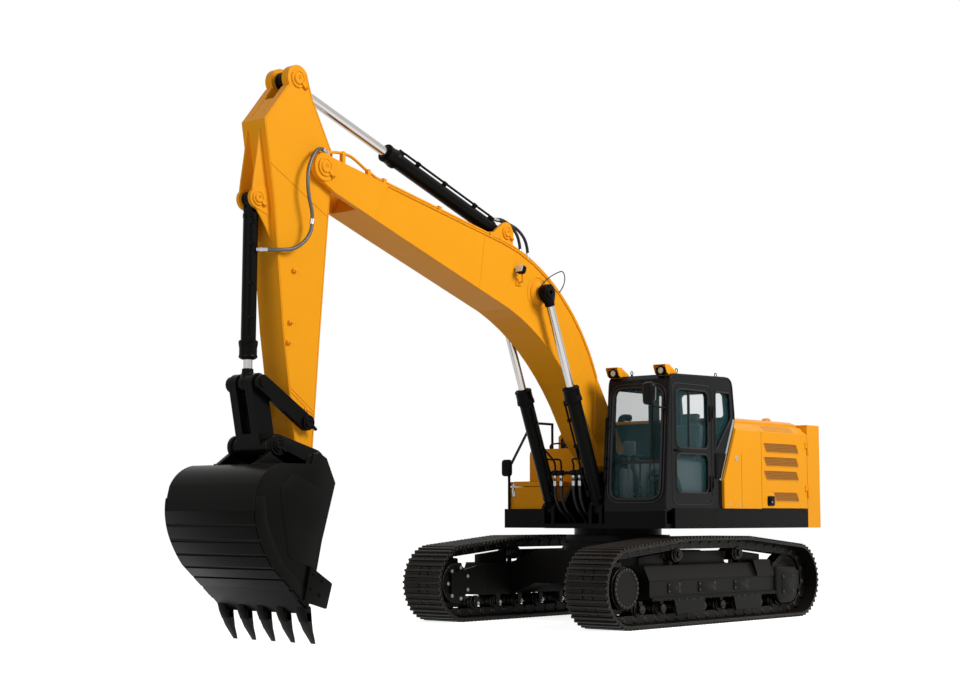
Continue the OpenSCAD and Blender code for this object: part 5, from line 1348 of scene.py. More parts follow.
def pin_end(metal: Shell, bolts: Shell, centre: Array, y: float, side: int, radius: float) -> None:
    """Flanged end of a linkage pin with a keeper bolt ring.

    Args:
        metal: shell that takes the flange.
        bolts: shell that takes the bolt heads.
        centre: side-view place of the pin.
        y: where the flange starts across the machine.
        side: which way it faces.
        radius: radius of the flange.
    """
    x, z = centre
    steps = [(-0.004, 1.0), (0.012, 1.0), (0.016, 0.95), (0.016, 0.80), (0.010, 0.77), (0.010, 0.66),
             (0.022, 0.62), (0.026, 0.57), (0.026, 0.30), (0.020, 0.26), (0.020, 0.11), (0.012, 0.09)]
    metal.lathe((x, y, z), side * Y, [(h, k * radius) for h, k in steps], 40)
    lean = np.array([-0.8, -0.6])
    near, far = centre + 0.8 * radius * lean, centre + 1.42 * radius * lean
    metal.side_plate(linked(near, 0.2 * radius, far, 0.2 * radius, 8), y + side * 0.004,
                     y + side * 0.026, 0.003)
    bolts.bolts([(far[0], y + side * 0.026, far[1])], side * Y, 0.1 * radius)


@dataclass
class Boom:
    """Welded boom: seam beads, pin ends, work lamp, tip pipe, grease lead and the hoses over its crown."""

    line: Chord
    half: float = 0.25
    lip: float = 0.012
    plate: float = 0.018
    nose: tuple[float, float] = (0.945, 0.042)
    crown: tuple[float, float] = (0.3391, 0.2371)
    back: tuple[float, float] = (0.19, 0.1185)
    reach: float = 0.22
    eye: tuple[float, float] = (0.4101, 0.1436)
    arm_foot: tuple[float, float] = (0.5324, 0.2054)
    boss_weld_r: float = 0.205
    pipe_up: float = 0.027
    pipe_r: float = 0.017
    hose_r: float = 0.019
    lead_r: float = 0.007

    def crown_arc(self, steps: int) -> Array:
        """Round the crown with an arc that touches both edges at one reach from their corner.

        Args:
            steps: pieces of the arc.

        Returns:
            Shares from the nose side to the back.
        """
        a, b, c = (np.array(p) for p in (self.nose, self.crown, self.back))
        u, v = unit(a - b), unit(c - b)
        half = math.acos(float(u @ v)) / 2
        mid = b + unit(u + v) * self.reach / math.cos(half)
        starts = [math.atan2(*(b + d * self.reach - mid)[::-1]) for d in (u, v)]
        sweep = (starts[1] - starts[0] + 3 * math.pi) % (2 * math.pi) - math.pi
        t = starts[0] + sweep * np.linspace(0, 1, steps + 1)
        return mid + self.reach * math.tan(half) * on_circle(t)

    def recess(self) -> Array:
        """Draw the edge of the recessed side plate.

        Returns:
            Its side-view outline.
        """
        low = bend((0.19, 0.0236), (0.33, 0.086), (0.47, 0.0672), 24)
        shares = np.concatenate([[(0.115, -0.015)], low, [(0.795, 0.0064), (0.86, -0.0054), (0.86, 0.0694)],
                                 self.crown_arc(24)])
        return inset(self.line.at(shares), self.plate)

    def welds(self) -> None:
        """Fillet beads round the side plates and the seams across them."""
        shell = Shell()
        ring = self.recess()
        eye = circle(self.line.at(self.eye), self.boss_weld_r, 40)
        seams = (((3.024, 4.651), (3.117, 4.093)), ((1.279, 3.088), (0.936, 3.331)),
                 ((5.072, 5.118), (5.14, 4.768)))
        for side in Side:
            y = side.value * (self.half - self.lip)
            shell.bead_round(ring, y, 0.0075)
            shell.bead_round(eye, y, 0.0075)
            for a, b in seams:
                shell.seam(a, b, ring, y, 0.0055)
        shell.piece("boom_weld_beads", YELLOW, "boom")

    def pins(self) -> None:
        """Ends of the tip pin and of the arm cylinder's pin."""
        metal, bolts = Shell(), Shell()
        tip, ear = (self.line.at(p) for p in ((1.0, 0.0), self.arm_foot))
        for side in Side:
            s = side.value
            pin_end(metal, bolts, tip, s * (self.half + 0.014), s, 0.105)
            pin_end(metal, bolts, ear, s * 0.145, s, 0.085)
        metal.piece("boom_pin_ends", YELLOW, "boom")
        bolts.piece("boom_pin_bolts", YELLOW, "boom")

    def lamp(self) -> None:
        """Work lamp on the boom's left side, on its bracket."""
        body, lens, bracket = Shell(), Shell(), Shell()
        x, y, z = 2.36, self.half - self.lip, 4.32
        bracket.pad(softened([(x - 0.05, z - 0.06), (x + 0.06, z - 0.06), (x + 0.08, z - 0.15),
                              (x - 0.03, z - 0.15)], 0.02), y, 0.014)
        bracket.tube(spline([(x + 0.01, y + 0.002, z - 0.105), (x + 0.015, y + 0.06, z - 0.095),
                             (x + 0.045, y + 0.085, z - 0.01)], 6), 0.011)
        body.plate(rectangle(-0.055, 0.055, -0.05, 0.05, 0.03), (x + 0.03, y + 0.085, z + 0.03), Y,
                   (-0.35, 0, 0.94), (0.07, 0, 0.026), 0.012, 3)
        lens.plate(rectangle(-0.05, 0.05, -0.045, 0.045, 0.012), (x + 0.098, y + 0.085, z + 0.055), Y,
                   (-0.35, 0, 0.94), (0.008, 0, 0.003), 0.003)
        bracket.piece("boom_lamp_bracket", YELLOW, "boom")
        body.piece("boom_lamp_body", BLACK, "boom")
        lens.piece("boom_lamp_lens", LENS, "boom")

    def crown_hoses(self) -> None:
        """Hoses from the pipes on the crown to the arm cylinder, with swaged ends."""
        arc = self.line.at(self.crown_arc(48))
        ahead = unit(np.gradient(arc, axis=0))
        pipe = arc - self.pipe_up * left_of(ahead)
        port = self.line.at(self.arm_foot) + (0.16, 0.157)
        ends = Shell()
        for k, (y0, y1, foot) in enumerate(((0.175, 0.04, 2.27), (-0.175, -0.04, 2.27), (0.215, 0.06, 2.19))):
            x, z = pipe[np.argmin(np.abs(pipe[:, 0] - foot))]
            path = spline([(x, y0, z), (x + 0.012, y0, z + 0.12), (x + 0.055, y0 * 0.93, z + 0.24),
                           (x + 0.135, y0 * 0.72, z + 0.345), (x + 0.25, y0 * 0.38 + y1 * 0.35, z + 0.405),
                           (port[0] - 0.02 * k, y1, port[1])], 8)
            hose = Shell()
            hose.tube(path, self.hose_r, 12)
            made = hose.piece(f"crown_hose_{k}", RUBBER, "boom")
            for end, away in ((path[0], path[1] - path[0]), (path[-1], path[-2] - path[-1])):
                ends.lathe(end - unit(away) * 0.02, away,
                           [(0, 0.018), (0.02, 0.018), (0.02, 0.024), (0.07, 0.023), (0.075, 0.02)], 14)
        ends.piece("crown_hose_ends", ZINC, "boom")

    def grease_lead(self) -> None:
        """Thin grease lead from the cylinder pin's boss, over the crown's edge and back to the side plate."""
        path = spline([(1.985, 0.30, 4.222), (1.90, 0.312, 4.30), (1.75, 0.30, 4.375), (1.60, 0.28, 4.43),
                       (1.52, 0.265, 4.44), (1.468, 0.255, 4.40), (1.46, 0.25, 4.33), (1.495, 0.247, 4.25),
                       (1.56, 0.243, 4.17)], 5)
        shell = Shell()
        shell.tube(path, self.lead_r, 8)
        made = shell.piece("boom_grease_lead", RUBBER, "boom")

    def tip_pipe(self) -> None:
        """Steel pipe on from the crown pipes to the hose at the tip, with its clamps."""
        pipe, clamps = Shell(), Shell()
        path = spline([(4.85, 0.215, 5.125), (4.95, 0.215, 5.165), (5.07, 0.215, 5.215), (5.19, 0.215, 5.275),
                       (5.30, 0.215, 5.318), (5.42, 0.216, 5.33), (5.55, 0.218, 5.322),
                       (5.66, 0.224, 5.295)], 8)
        pipe.tube(path, self.pipe_r, 14)
        for x, z in ((5.02, 5.14), (5.42, 5.21)):
            clamps.block((x - 0.024, 0.19, z - 0.01),
                         (x + 0.024, 0.242, np.interp(x, path[:, 0], path[:, 2]) + 0.022), 0.006)
        pipe.piece("boom_tip_pipe", YELLOW, "boom")
        clamps.piece("boom_tip_clamps", YELLOW, "boom")

    def build(self) -> None:
        """Dress the boom."""
        self.tip_pipe()
        self.welds()
        self.pins()
        self.lamp()


@dataclass
class Arm:
    """Arm: seam beads, lugs, pin ends, gussets, head plate and the braided hose to the bucket cylinder."""

    line: Chord
    half: float = 0.18
    outline: tuple[tuple[float, float], ...] = (
        (0.955, -0.034), (1.0, -0.02), (1.0, 0.03), (0.935, 0.047), (0.57, 0.127), (0.149, 0.198),
        (-0.11, 0.259), (-0.245, 0.165), (-0.31, 0.085), (-0.225, 0.05), (-0.06, -0.055), (0.04, -0.055),
        (0.58, -0.0402))
    bucket_foot: tuple[float, float] = (0.1516, 0.2469)
    eye: tuple[float, float] = (-0.278, 0.1211)
    rocker: tuple[float, float] = (0.862, 0.0142)
    rocker_y: float = 0.259
    hose_r: float = 0.02
    fork_in: float = 0.087
    fork_t: float = 0.02
    slot_half: float = 0.079

    def welds(self) -> None:
        """Beads just inside the arm's edges and across its joints."""
        shell = Shell()
        ring = inset(softened(self.line.at(self.outline), 0.05), 0.016)
        for side in Side:
            y = side.value * self.half
            shell.bead_round(ring, y, 0.005)
            for a, b in (((6.479, 5.081), (5.624, 4.608)), ((6.138, 2.702), (5.807, 2.470)),
                         ((6.145, 2.665), (5.80, 2.425)), ((6.041, 2.017), (5.785, 2.025))):
                shell.seam(a, b, ring, y, 0.0055)
        shell.piece("arm_weld_beads", YELLOW, "arm")

    def lugs(self) -> None:
        """Small clamp lugs on the arm's left side."""
        shell = Shell()
        for x, z in ((6.148, 3.39), (6.173, 3.174), (5.914, 2.466), (6.10, 3.95)):
            shell.pad(rectangle(x - 0.03, x + 0.03, z - 0.02, z + 0.02, 0.01), self.half, 0.03, 0.004)
            shell.lathe((x, self.half + 0.028, z), Y, [(0, 0.012), (0.012, 0.012), (0.014, 0.008)], 12)
        shell.piece("arm_lugs", YELLOW, "arm")

    def pins(self) -> None:
        """Pin ends on the cylinder eyes of the arm and on the rockers' foot."""
        metal, bolts, caps = Shell(), Shell(), Shell()
        eye, foot = self.line.at(self.eye), self.line.at(self.bucket_foot)
        for side in Side:
            s = side.value
            pin_end(metal, bolts, eye, s * self.half, s, 0.10)
            pin_end(metal, bolts, foot, s * 0.112, s, 0.08)
            pin_end(caps, caps, self.line.at(self.rocker), s * self.rocker_y, s, 0.08)
        caps.piece("rocker_foot_caps", BLACK, "arm")
        metal.piece("arm_pin_ends", YELLOW, "arm")
        bolts.piece("arm_pin_bolts", YELLOW, "arm")

    def hose(self) -> None:
        """Braided hose that runs down the arm's left side to the bucket cylinder."""
        upper = spline([(5.668, 0.225, 5.291), (5.76, 0.245, 5.318), (5.86, 0.265, 5.285),
                        (5.95, 0.285, 5.18), (6.015, 0.30, 5.036), (6.03, 0.31, 4.88), (6.009, 0.31, 4.736),
                        (5.97, 0.31, 4.60), (5.955, 0.305, 4.482)], 8)
        lower = spline([(5.955, 0.305, 4.482), (5.985, 0.305, 4.365), (6.065, 0.295, 4.255),
                        (6.19, 0.265, 4.17), (6.35, 0.21, 4.142), (6.45, 0.155, 4.137),
                        (6.53, 0.10, 4.135)], 8)
        for name, path, bodies in (("upper", upper, ("boom", "arm")),
                                   ("lower", lower, ("arm", "bucket_barrel"))):
            fine = evenly(path, 0.008)
            sleeve, ends = Shell(), Shell()
            sleeve.tube(fine, self.hose_r * (1 + 0.05 * np.cos(np.arange(len(fine)) * np.pi)), 14)
            made = sleeve.piece(f"arm_{name}_hose", BRAID, bodies[0], ride=False)
            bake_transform(made)
            end, away = (path[0], path[1] - path[0]) if name == "upper" else (path[-1], path[-2] - path[-1])
            ends.lathe(end - unit(away) * 0.03, away,
                       [(0, 0.021), (0.03, 0.021), (0.03, 0.029), (0.06, 0.029), (0.06, 0.025),
                        (0.115, 0.025), (0.12, 0.021)], 16)
            ends.piece(f"arm_{name}_hose_end", ZINC, "boom" if name == "upper" else "bucket_barrel")
        union = Shell()
        union.lathe(lower[0] + (0, 0, 0.03), lower[2] - lower[0],
                    [(0, 0.021), (0.0, 0.025), (0.06, 0.025), (0.06, 0.021)], 16)
        union.piece("arm_hose_union", ZINC, "arm")

    def gussets(self) -> None:
        """Tapered gussets that run from the bucket cylinder's ears up and down the arm's front face."""
        shell = Shell()
        outline = softened([(6.46, 5.46), (6.31, 4.25), (6.365, 4.25), (6.47, 4.42), (6.60, 4.59),
                            (6.645, 4.72), (6.63, 4.86), (6.575, 5.20), (6.548, 5.46)], 0.05, 5)
        for side in Side:
            shell.pad(outline, side.value * self.fork_in, self.fork_t, 0.006)
        shell.piece("arm_gussets", YELLOW, "arm")

    def head_plate(self) -> None:
        """Plate that closes the sloped face of the head between the ears, short of the rod's eye."""
        low, top = self.line.at([(-0.11, 0.259), (-0.245, 0.165)])
        high, inward = low + 0.66 * (top - low), unit(np.array([low[1] - top[1], top[0] - low[0]]))
        shell = Shell()
        shell.side_plate([low + 0.004 * inward, high + 0.004 * inward, high + 0.026 * inward,
                          low + 0.026 * inward], -self.slot_half, self.slot_half, 0.002)
        shell.piece("arm_head_plate", YELLOW, "arm")

    def build(self) -> None:
        """Dress the arm."""
        self.welds()
        self.lugs()
        self.pins()
        self.gussets()
        self.head_plate()


@dataclass
class Bucket:
    """Bucket: rolled shell, folded sides, wear strips, cutters, adapters, teeth and hinge ears."""

    line: Chord
    half: float = 0.69
    shell_t: float = 0.028
    side_t: float = 0.032
    cutter_t: float = 0.036
    ears: tuple[float, float] = (0.266, 0.328)
    ear: tuple[float, float] = (-0.0643, 0.2907)
    teeth: int = 5
    tooth_w: float = 0.12

    def profile(self, steps: int = 26) -> Array:
        """Shares along the outside of the shell, from the lip round the heel to the hinge."""
        return np.concatenate([[(0.816, 0.113)], bend((0.62, 0.41), (0.45, 0.59), (0.27, 0.583), steps),
                               bend((0.20, 0.575), (0.10, 0.54), (0.06, 0.43), steps // 2), [(0.03, 0.20)]])

    def shell_plate(self) -> None:
        """Rolled plate of the bucket, drawn across its width."""
        outer = self.line.at(self.profile())
        ahead = unit(np.gradient(outer, axis=0))
        inner = outer + self.shell_t * left_of(ahead)
        band = np.concatenate([outer, inner[::-1]])
        shell = Shell()
        shell.side_plate(band, self.side_t - self.half, self.half - self.side_t, 0.0)
        shell.piece("bucket_shell", BLACK, "bucket", 25)

    def strips(self) -> None:
        """Stepped wear strips round the heel."""
        path = evenly(self.line.at(self.profile()), 0.01)
        run = np.arange(len(path)) * 0.01
        out = -left_of(unit(np.gradient(path, axis=0)))
        shell = Shell()
        for start in np.arange(0.16, 1.25, 0.165):
            pick = (run >= start) & (run <= start + 0.135)
            part, away = path[pick], out[pick]
            band = np.concatenate([part - 0.005 * away, (part + 0.011 * away)[::-1]])
            shell.side_plate(band, -self.half + 0.004, self.half - 0.004, 0.003)
        shell.piece("bucket_wear_strips", BLACK, "bucket", 25)

    def sides(self) -> None:
        """Side plates with their fold, lower wear plates, cutters and bolts."""
        plates, wear, bolts, cutters = Shell(), Shell(), Shell(), Shell()
        rim = np.concatenate([self.profile(), [(-0.03, 0.19), (-0.042, 0.15), (-0.02, 0.09), (0.107, 0.004),
                                               (0.44, 0.062), (0.61, 0.079)]])
        outline = self.line.at(rim)
        heel = self.line.at(bend((0.62, 0.41), (0.45, 0.59), (0.27, 0.583), 26))
        inner = self.line.at(bend((0.60, 0.33), (0.42, 0.50), (0.25, 0.52), 26))
        lip = self.line.at([(0.80, 0.125)])
        band = np.concatenate([lip, heel, inner[::-1], self.line.at([(0.72, 0.14)])])
        fold = self.line.at([(0.60, 0.10), (0.56, 0.30), (0.20, 0.42), (0.10, 0.33), (0.17, 0.06),
                             (0.42, 0.085)])
        cutter = self.line.at([(0.585, 0.145), (0.662, -0.033), (0.805, -0.009), (0.78, 0.165)])
        for side in Side:
            s = side.value
            plates.pad(outline, s * (self.half - self.side_t), self.side_t, 0.004)
            wear.pad(inset(band[::-1], 0.004), s * (self.half - 0.002), 0.014, 0.004)
            wear.pad(softened(fold, 0.06), s * (self.half - 0.002), 0.006, 0.002)
            cutters.pad(softened(cutter, 0.015, 3), s * self.half, self.cutter_t, 0.006)
            holes = self.line.at([(0.628, 0.115), (0.71, 0.125), (0.655, 0.045), (0.735, 0.055)])
            bolts.bolts(at_side(holes, s * (self.half + self.cutter_t)), s * Y, 0.017)
        made = plates.piece("bucket_sides", BLACK, "bucket", 25)
        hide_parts("bucket")
        wear.piece("bucket_side_wear_plates", BLACK, "bucket", 25)
        made = cutters.piece("bucket_side_cutters", BLACK, "bucket")
        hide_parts("bucket_teeth")
        bolts.piece("bucket_cutter_bolts", BLACK, "bucket")

    def hinge(self) -> None:
        """Ears with their bosses, pins and welds."""
        shell, bolts, welds = Shell(), Shell(), Shell()
        knee, ear = (self.line.at(p) for p in ((0.0, 0.0), self.ear))
        back = self.line.at([(0.03, 0.20), (0.045, 0.31), (0.06, 0.43)])
        for side in Side:
            s = side.value
            y0, y1 = (s * y for y in self.ears)
            shell.side_plate(linked(knee, 0.17, ear, 0.12, 20), y0, y1, 0.006)
            shell.side_plate(np.concatenate([[knee], back, [ear]]), y0, y1, 0.004)
            for p, r in ((knee, 0.13), (ear, 0.105)):
                shell.lathe((p[0], y1 - s * 0.002, p[1]), s * Y,
                            [(0, r), (0.012, r), (0.016, 0.96 * r), (0.016, 0.1)], 36)
                pin_end(shell, bolts, p, y1 + s * 0.014, s, 0.07)
            for y in (y1 + s * 0.004, y0 - s * 0.004):
                welds.bead(at_side(back, y), 0.012)
        for p in (knee, ear):
            shell.lathe((p[0], -self.ears[0] - 0.01, p[1]), Y,
                        [(0, 0.048), (2 * self.ears[0] + 0.02, 0.048)], 28)
        shell.piece("bucket_hinge_ears", BLACK, "bucket")
        bolts.piece("bucket_pin_bolts", BLACK, "bucket")
        welds.piece("bucket_hinge_welds", BLACK, "bucket")

    def tooth_rows(self) -> None:
        """Cutting lip, adapters and tapered teeth."""
        lip, adapters, tips = Shell(), Shell(), Shell()
        lip.side_plate(self.line.at([(0.70, 0.26), (0.712, 0.280), (0.842, 0.097), (0.83, 0.075),
                                     (0.80, 0.085)]), self.side_t - self.half, self.half - self.side_t, 0.006)
        pitch = (2 * self.half - 2 * self.side_t - self.tooth_w - 0.001) / (self.teeth - 1)
        stations = np.array([(0.835, 0.092, 0.046, 0.50), (0.88, 0.078, 0.043, 0.50),
                             (0.93, 0.052, 0.030, 0.44), (0.98, 0.014, 0.012, 0.34),
                             (0.999, 0.001, 0.004, 0.28)])
        for i in range(self.teeth):
            y = (i - (self.teeth - 1) / 2) * pitch
            block = softened(self.line.at([(0.775, 0.16), (0.80, 0.075), (0.86, 0.060), (0.885, 0.055),
                                           (0.895, 0.095), (0.85, 0.125)]), 0.02, 3)
            adapters.side_plate(block, y - self.tooth_w / 2, y + self.tooth_w / 2, 0.012)
            rows = []
            for along, behind, thick, wide in stations:
                ring = softened(np.array([(-wide, -thick), (wide, -thick), (wide, thick), (-wide, thick)])
                                * (self.tooth_w, 1.0), 0.02, 3)
                flat = self.line.at(np.stack([np.full(len(ring), along), behind + ring[:, 1] * 0.6], axis=1))
                rows.append(np.insert(flat, 1, y + ring[:, 0], axis=1))
            tips.grid(np.stack(rows))
        lip.piece("bucket_lip_plate", BLACK, "bucket")
        adapters.piece("bucket_tooth_adapters", BLACK, "bucket")
        tips.piece("bucket_tooth_tips", TRACK, "bucket")

    def build(self) -> None:
        """Make the bucket, which stands for its two solids."""
        self.shell_plate()
        self.strips()
        self.sides()
        self.hinge()
        self.tooth_rows()


@dataclass
class Cylinder:
    """Dress of one hydraulic cylinder: gland, bolt ring, port blocks, tube with clamps and rod eye."""

    name: str
    base: tuple[float, float]
    eye: tuple[float, float]
    y: float
    radius: float
    length: float
    rod_r: float
    eye_r: float
    eye_half: float
    barrel_body: str
    rod_body: str
    tube_side: tuple[float, float]
    eye_cap: bool = True
    collar: float = 0.07
    neck: float = 0.75
    pipe_r: float = 0.014
    pipe_gap: float = 0.03
    gland_bolts: int = 10
    eye_grow: float = 0.0015

    def axis(self) -> tuple[Array, Array, Array]:
        """Work out the lie of the cylinder from its two pins.

        Returns:
            Base point, direction of the rod and the side that carries the tube.
        """
        base = np.array([self.base[0], self.y, self.base[1]])
        d = unit(np.array([self.eye[0] - self.base[0], 0, self.eye[1] - self.base[1]]))
        normal = np.array([-d[2], 0, d[0]])
        lean = unit(self.tube_side[0] * normal + self.tube_side[1] * Y)
        return base, d, lean

    def build(self) -> None:
        """Make the barrel's and the rod's dress."""
        base, d, lean = self.axis()
        r, end = self.radius, self.length
        metal, bolts, tubes, eye = Shell(), Shell(), Shell(), Shell()
        metal.lathe(base + d * (end - 0.19), d,
                    [(0, r + 0.002), (0.012, r + 0.022), (0.05, r + 0.022), (0.056, r + 0.018),
                     (0.075, r + 0.018), (0.08, r + 0.0145)], 40)
        metal.lathe(base + d * (end - 0.03), d,
                    [(0, r + 0.0145), (0.008, r + 0.019), (0.026, r + 0.019), (0.032, r + 0.012),
                     (0.034, r - 0.02), (0.046, self.rod_r + 0.022), (0.05, self.rod_r + 0.006),
                     (0.05, self.rod_r + 0.001)], 40)
        metal.lathe(base + d * 0.16, d,
                    [(0, r + 0.0005), (0.005, r + 0.005), (0.043, r + 0.005), (0.048, r + 0.0005)], 40)
        side = np.cross(d, lean)
        ring = circle((0, 0), r - 0.004, self.gland_bolts) @ np.stack([lean, side])
        bolts.bolts(base + d * (end + 0.002) + ring, d, 0.009)
        out = r + self.pipe_gap
        start, stop = base + d * 0.25 + lean * out, base + d * (end - 0.24) + lean * out
        for run in (spline([start - lean * 0.05, start - lean * 0.01, start + d * 0.05, start + d * 0.12], 5),
                    [start + d * 0.11, (start + stop) / 2, stop - d * 0.05],
                    spline([stop - d * 0.06, stop, stop + d * 0.035 - lean * 0.01,
                            stop + d * 0.06 - lean * 0.035], 5)):
            tubes.tube(run, self.pipe_r)
        for k in (0.2, 0.55, 0.85):
            place = start + (stop - start) * k
            tubes.plate(rectangle(-0.02, 0.02, -0.028, 0.028, 0.01), place - lean * 0.036, d, side,
                        lean * 0.056, 0.004)
        for place in (base + d * 0.25, base + d * (end - 0.19)):
            tubes.plate(rectangle(-0.035, 0.035, -0.03, 0.03, 0.01), place + lean * (r - 0.008), d, side,
                        lean * 0.05, 0.006)
        metal.piece(f"{self.name}_glands", BLACK, self.barrel_body)
        bolts.piece(f"{self.name}_gland_bolts", BLACK, self.barrel_body)
        tubes.piece(f"{self.name}_tubes", BLACK, self.barrel_body)
        q = np.array(self.eye)
        back = q - np.array([d[0], d[2]]) * self.eye_r * self.neck
        grow = self.eye_grow
        eye.side_plate(linked(q, self.eye_r + grow, back, self.eye_r * 0.6 + grow, 24),
                       self.y - self.eye_half - grow, self.y + self.eye_half + grow, 0.004)
        eye.lathe(np.array([q[0], self.y, q[1]]) - d * (self.eye_r + self.collar), d,
                  [(0, self.rod_r + 0.001), (0.006, self.rod_r + 0.012), (self.collar, self.rod_r + 0.016),
                   (self.collar + 0.04, self.rod_r + 0.02)], 32)
        if self.eye_cap:
            for s in (-1, 1):
                eye.lathe((q[0], self.y + s * self.eye_half, q[1]), s * Y,
                          [(0, 0.078), (0.0145, 0.078), (0.018, 0.07), (0.018, 0.03), (0.014, 0.026)], 32)
        eye.piece(f"{self.name}_rod_eye", BLACK, self.rod_body)


@dataclass
class FootHoses:
    """Hoses between the house and the tie of the boom cylinders, with their fittings and bent tubes."""

    base: tuple[float, float] = (0.9, 1.42)
    ahead: tuple[float, float] = (0.377233, 0.926119)
    tie_at: float = 0.52
    ys: tuple[float, ...] = (-0.20, -0.10, 0.10, 0.20)
    hose_r: float = 0.019
    deck_top: float = 1.25

    def build(self) -> None:
        """Make the fittings, the tubes above them and the hoses below."""
        base, ahead = np.array(self.base), np.array(self.ahead)
        tie = base + ahead * self.tie_at
        metal, pipes, dark, feet = Shell(), Shell(), Shell(), Shell()
        for k, y in enumerate(self.ys):
            place = np.array([tie[0], y, tie[1]])
            dark.block(place - (0.036, 0.034, 0.036), place + (0.036, 0.034, 0.036), 0.008)
            feet.lathe((tie[0] - 0.27, y * 0.9, self.deck_top - 0.002), Z,
                       [(0, 0.034), (0.012, 0.034), (0.014, 0.026), (0.05, 0.024), (0.055, 0.02)], 16)
            metal.lathe(place - (0, 0, 0.034), -Z, [(0, 0.024), (0.03, 0.024), (0.032, 0.019), (0.07, 0.019),
                                                    (0.07, 0.026), (0.13, 0.025), (0.135, 0.021)], 16)
            s = 1 if y > 0 else -1
            join = 0.80 + 0.12 * (k in (0, 3))
            meet = base + ahead * join
            pipes.tube(spline([place + (0, 0, 0.03), place + (0, 0, 0.10),
                               (tie[0] + 0.03, y + s * 0.01, tie[1] + 0.17),
                               (meet[0] - 0.03, s * 0.265, meet[1] - 0.08),
                               (meet[0], s * 0.292, meet[1])], 7), 0.013)
            path = spline([place - (0, 0, 0.04), place - (0, 0, 0.18), place - (0.02, 0, 0.33),
                           (tie[0] - 0.10, y * 0.97, tie[1] - 0.47),
                           (tie[0] - 0.20, y * 0.93, tie[1] - 0.545),
                           (tie[0] - 0.27, y * 0.9, self.deck_top + 0.03)], 8)
            hose = Shell()
            hose.tube(path, self.hose_r, 12)
            made = hose.piece(f"foot_hose_{k}", RUBBER, "boom_barrels", ride=False)
            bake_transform(made)
        metal.piece("foot_hose_fittings", ZINC, "boom_barrels")
        feet.piece("foot_hose_ends", BLACK, "house")
        dark.piece("foot_hose_blocks", BLACK, "boom_barrels")
        pipes.piece("boom_cylinder_pipes", BLACK, "boom_barrels")


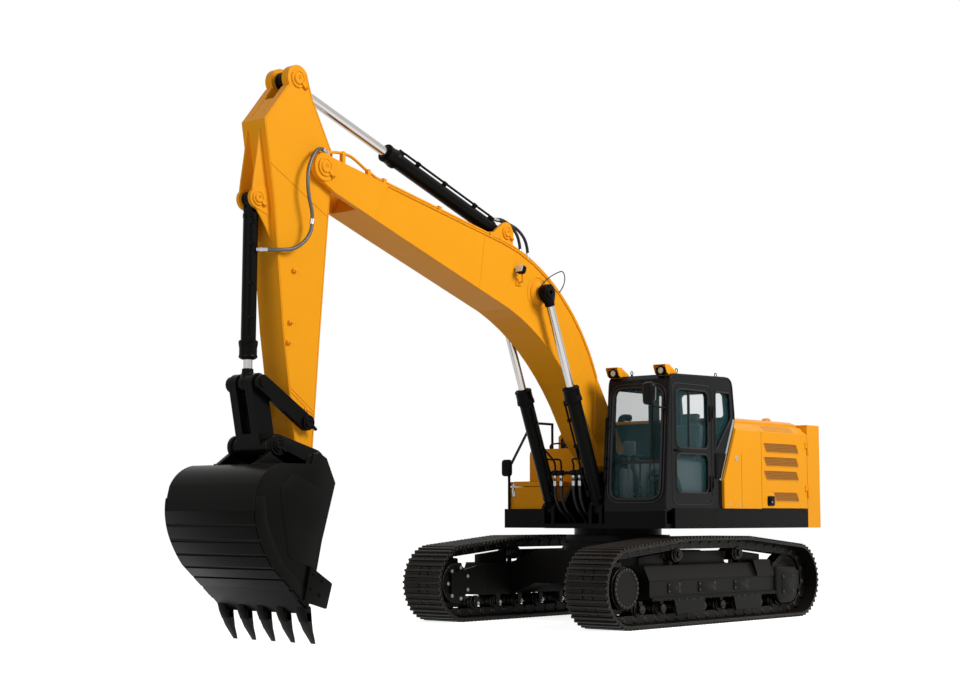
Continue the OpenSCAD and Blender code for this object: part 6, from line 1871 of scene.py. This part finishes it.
@dataclass
class Studio:
    """Pale floor, soft lamps, white surround and the camera at the photograph's place."""

    eye: tuple[float, float, float] = (18.36, 13.26, 1.32)
    yaw_deg: float = 220.49
    pitch_deg: float = 5.7
    focal_px: float = 1684.8
    image_px: tuple[int, int] = (960, 700)
    sensor_mm: float = 36.0
    floor_radius: float = 90.0
    floor_glow: float = 0.85
    clip_end: float = 500.0
    surround: float = 0.22
    key_power: float = 3950.0
    fill_power: float = 500.0

    def camera(self) -> None:
        """Set the camera: its lens in millimetres is the focal length as a share of the image width."""
        data = bpy.data.cameras.new("photo_camera")
        data.sensor_width = self.sensor_mm
        data.lens = self.focal_px / self.image_px[0] * self.sensor_mm
        data.clip_end = self.clip_end
        camera = bpy.data.objects.new("photo_camera", data)
        camera.location = self.eye
        camera.rotation_euler = (math.radians(90 + self.pitch_deg), 0.0, math.radians(self.yaw_deg - 90))
        bpy.context.scene.collection.objects.link(camera)
        bpy.context.scene.camera = camera

    def lamp(self, name: str, place: tuple[float, float, float], aim: tuple[float, float, float],
             size: float, power: float) -> None:
        """Hang one square soft lamp.

        Args:
            name: name of the lamp.
            place: where it hangs, in metres.
            aim: point that it faces.
            size: edge of its square, in metres.
            power: output in watts.
        """
        data = bpy.data.lights.new(name, "AREA")
        data.energy = power
        data.size = size
        lamp = bpy.data.objects.new(name, data)
        lamp.location = place
        facing = lamp.location.copy()
        facing.x, facing.y, facing.z = (place[i] - aim[i] for i in range(3))
        lamp.rotation_euler = facing.to_track_quat("Z", "Y").to_euler()
        bpy.context.scene.collection.objects.link(lamp)

    def surround_light(self) -> None:
        """White all round for the camera, gloss and glass, and softer as a light."""
        world = bpy.data.worlds.new("white_surround")
        bpy.context.scene.world = world
        world.use_nodes = True
        tree = world.node_tree
        level = add_node(tree, "ShaderNodeMapRange", {"To Min": self.surround, "To Max": 1.0},
                         {"Value": self.seen(tree)})
        feed(tree, tree.nodes["Background"], {"Color": WHITE}, {"Strength": level.outputs["Result"]})

    @staticmethod
    def seen(tree: bpy.types.NodeTree) -> bpy.types.NodeSocket:
        """Tell rays for looks from rays for light, by the clamped sum of three kinds of ray.

        Args:
            tree: node tree that takes the nodes.

        Returns:
            Socket with one for rays that the camera, a gloss or a glass sends, and zero for light.
        """
        path = add_node(tree, "ShaderNodeLightPath")
        first = add_node(tree, "ShaderNodeMath", {"operation": "ADD", "use_clamp": True},
                         {0: path.outputs["Is Camera Ray"], 1: path.outputs["Is Transmission Ray"]})
        return add_node(tree, "ShaderNodeMath", {"operation": "ADD", "use_clamp": True},
                        {0: first.outputs["Value"], 1: path.outputs["Is Glossy Ray"]}).outputs["Value"]

    def floor(self) -> None:
        """Lay a wide pale disc that reads white to its rim and keeps the machine's shadow."""
        rim = np.insert(circle((0, 0), self.floor_radius, 64), 2, 0.0, axis=1)
        mesh = bpy.data.meshes.new("pale_floor")
        mesh.from_pydata(rim.tolist(), [], [list(range(len(rim)))])
        floor = bpy.data.objects.new("pale_floor", mesh)
        paint = Plain("pale_floor_paint", Slot.CHROME, "#cdcdcc", 0.9, grain_mm=4000, grain_depth_mm=0.0,
                      shade=0.97).material()
        tree = paint.node_tree
        glow = add_node(tree, "ShaderNodeMath", {"operation": "MULTIPLY", 1: self.floor_glow},
                        {0: self.seen(tree)})
        feed(tree, tree.nodes["Principled BSDF"], {"Emission Color": WHITE},
             {"Emission Strength": glow.outputs["Value"]})
        mesh.materials.append(paint)
        bpy.context.scene.collection.objects.link(floor)

    def build(self) -> None:
        """Set up the stage."""
        bpy.context.scene.view_settings.view_transform = "Standard"
        self.camera()
        self.surround_light()
        self.floor()
        self.lamp("key_lamp", (-1.0, 17.0, 15.0), (2.0, 0.0, 2.5), size=8.0, power=self.key_power)
        self.lamp("fill_lamp", (17.0, 3.0, 9.0), (3.0, 0.0, 2.0), size=9.0, power=self.fill_power)


def main() -> None:
    """Build the stage and every dressed sub-assembly in order."""
    logging.basicConfig(level=logging.INFO)
    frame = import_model()
    pins = {joint["name"]: np.array(joint["pos_m"])[[0, 2]]
            for joint in frame["joints"] if joint.get("pos_m")}
    Studio().build()
    dress_nodes(frame["nodes"])
    boom = Boom(Chord.between(pins["boom_lift"], pins["arm_turn"]))
    arm = Arm(Chord.between(pins["arm_turn"], pins["bucket_curl"]))
    bucket = Bucket(Chord(tuple(pins["bucket_curl"]), BUCKET_HEADING_DEG, BUCKET_LENGTH))
    boom_eye, arm_eye = boom.line.at(boom.eye), arm.line.at(arm.eye)
    top_pin = pins["bucket_barrel_turn"] + BUCKET_CYLINDER_LENGTH * np.array(BUCKET_CYLINDER_AHEAD)
    boom_base, arm_base, bucket_base = (pins[f"{n}_barrel_turn"] for n in ("boom", "arm", "bucket"))
    FootHoses().build()
    boom.crown_hoses()
    boom.grease_lead()
    arm.hose()
    cylinders = [
        Cylinder(f"boom_cylinder_{side.label}", boom_base, boom_eye, y=side.value * 0.385, radius=0.092,
                 length=1.658, rod_r=0.05, eye_r=0.105, eye_half=0.052, barrel_body="boom_barrels",
                 rod_body="boom_rods", tube_side=(-0.4, -side.value)) for side in Side]
    cylinders += [
        Cylinder("arm_cylinder", arm_base, arm_eye, y=0.0, radius=0.092, length=2.14, rod_r=0.056,
                 eye_r=0.105, eye_half=0.072, barrel_body="arm_barrel", rod_body="arm_rod",
                 tube_side=(0.8, 0.6), eye_cap=False, collar=0.014, neck=0.6),
        Cylinder("bucket_cylinder", bucket_base, top_pin, y=0.0, radius=0.08, length=1.69, rod_r=0.048,
                 eye_r=0.09, eye_half=0.062, barrel_body="bucket_barrel", rod_body="bucket_rod",
                 tube_side=(0.5, 0.9), eye_cap=False)]
    for part in (Tracks(), House(), Cab(), boom, arm, bucket, *cylinders):
        part.build()


if __name__ == "__main__":
    main()
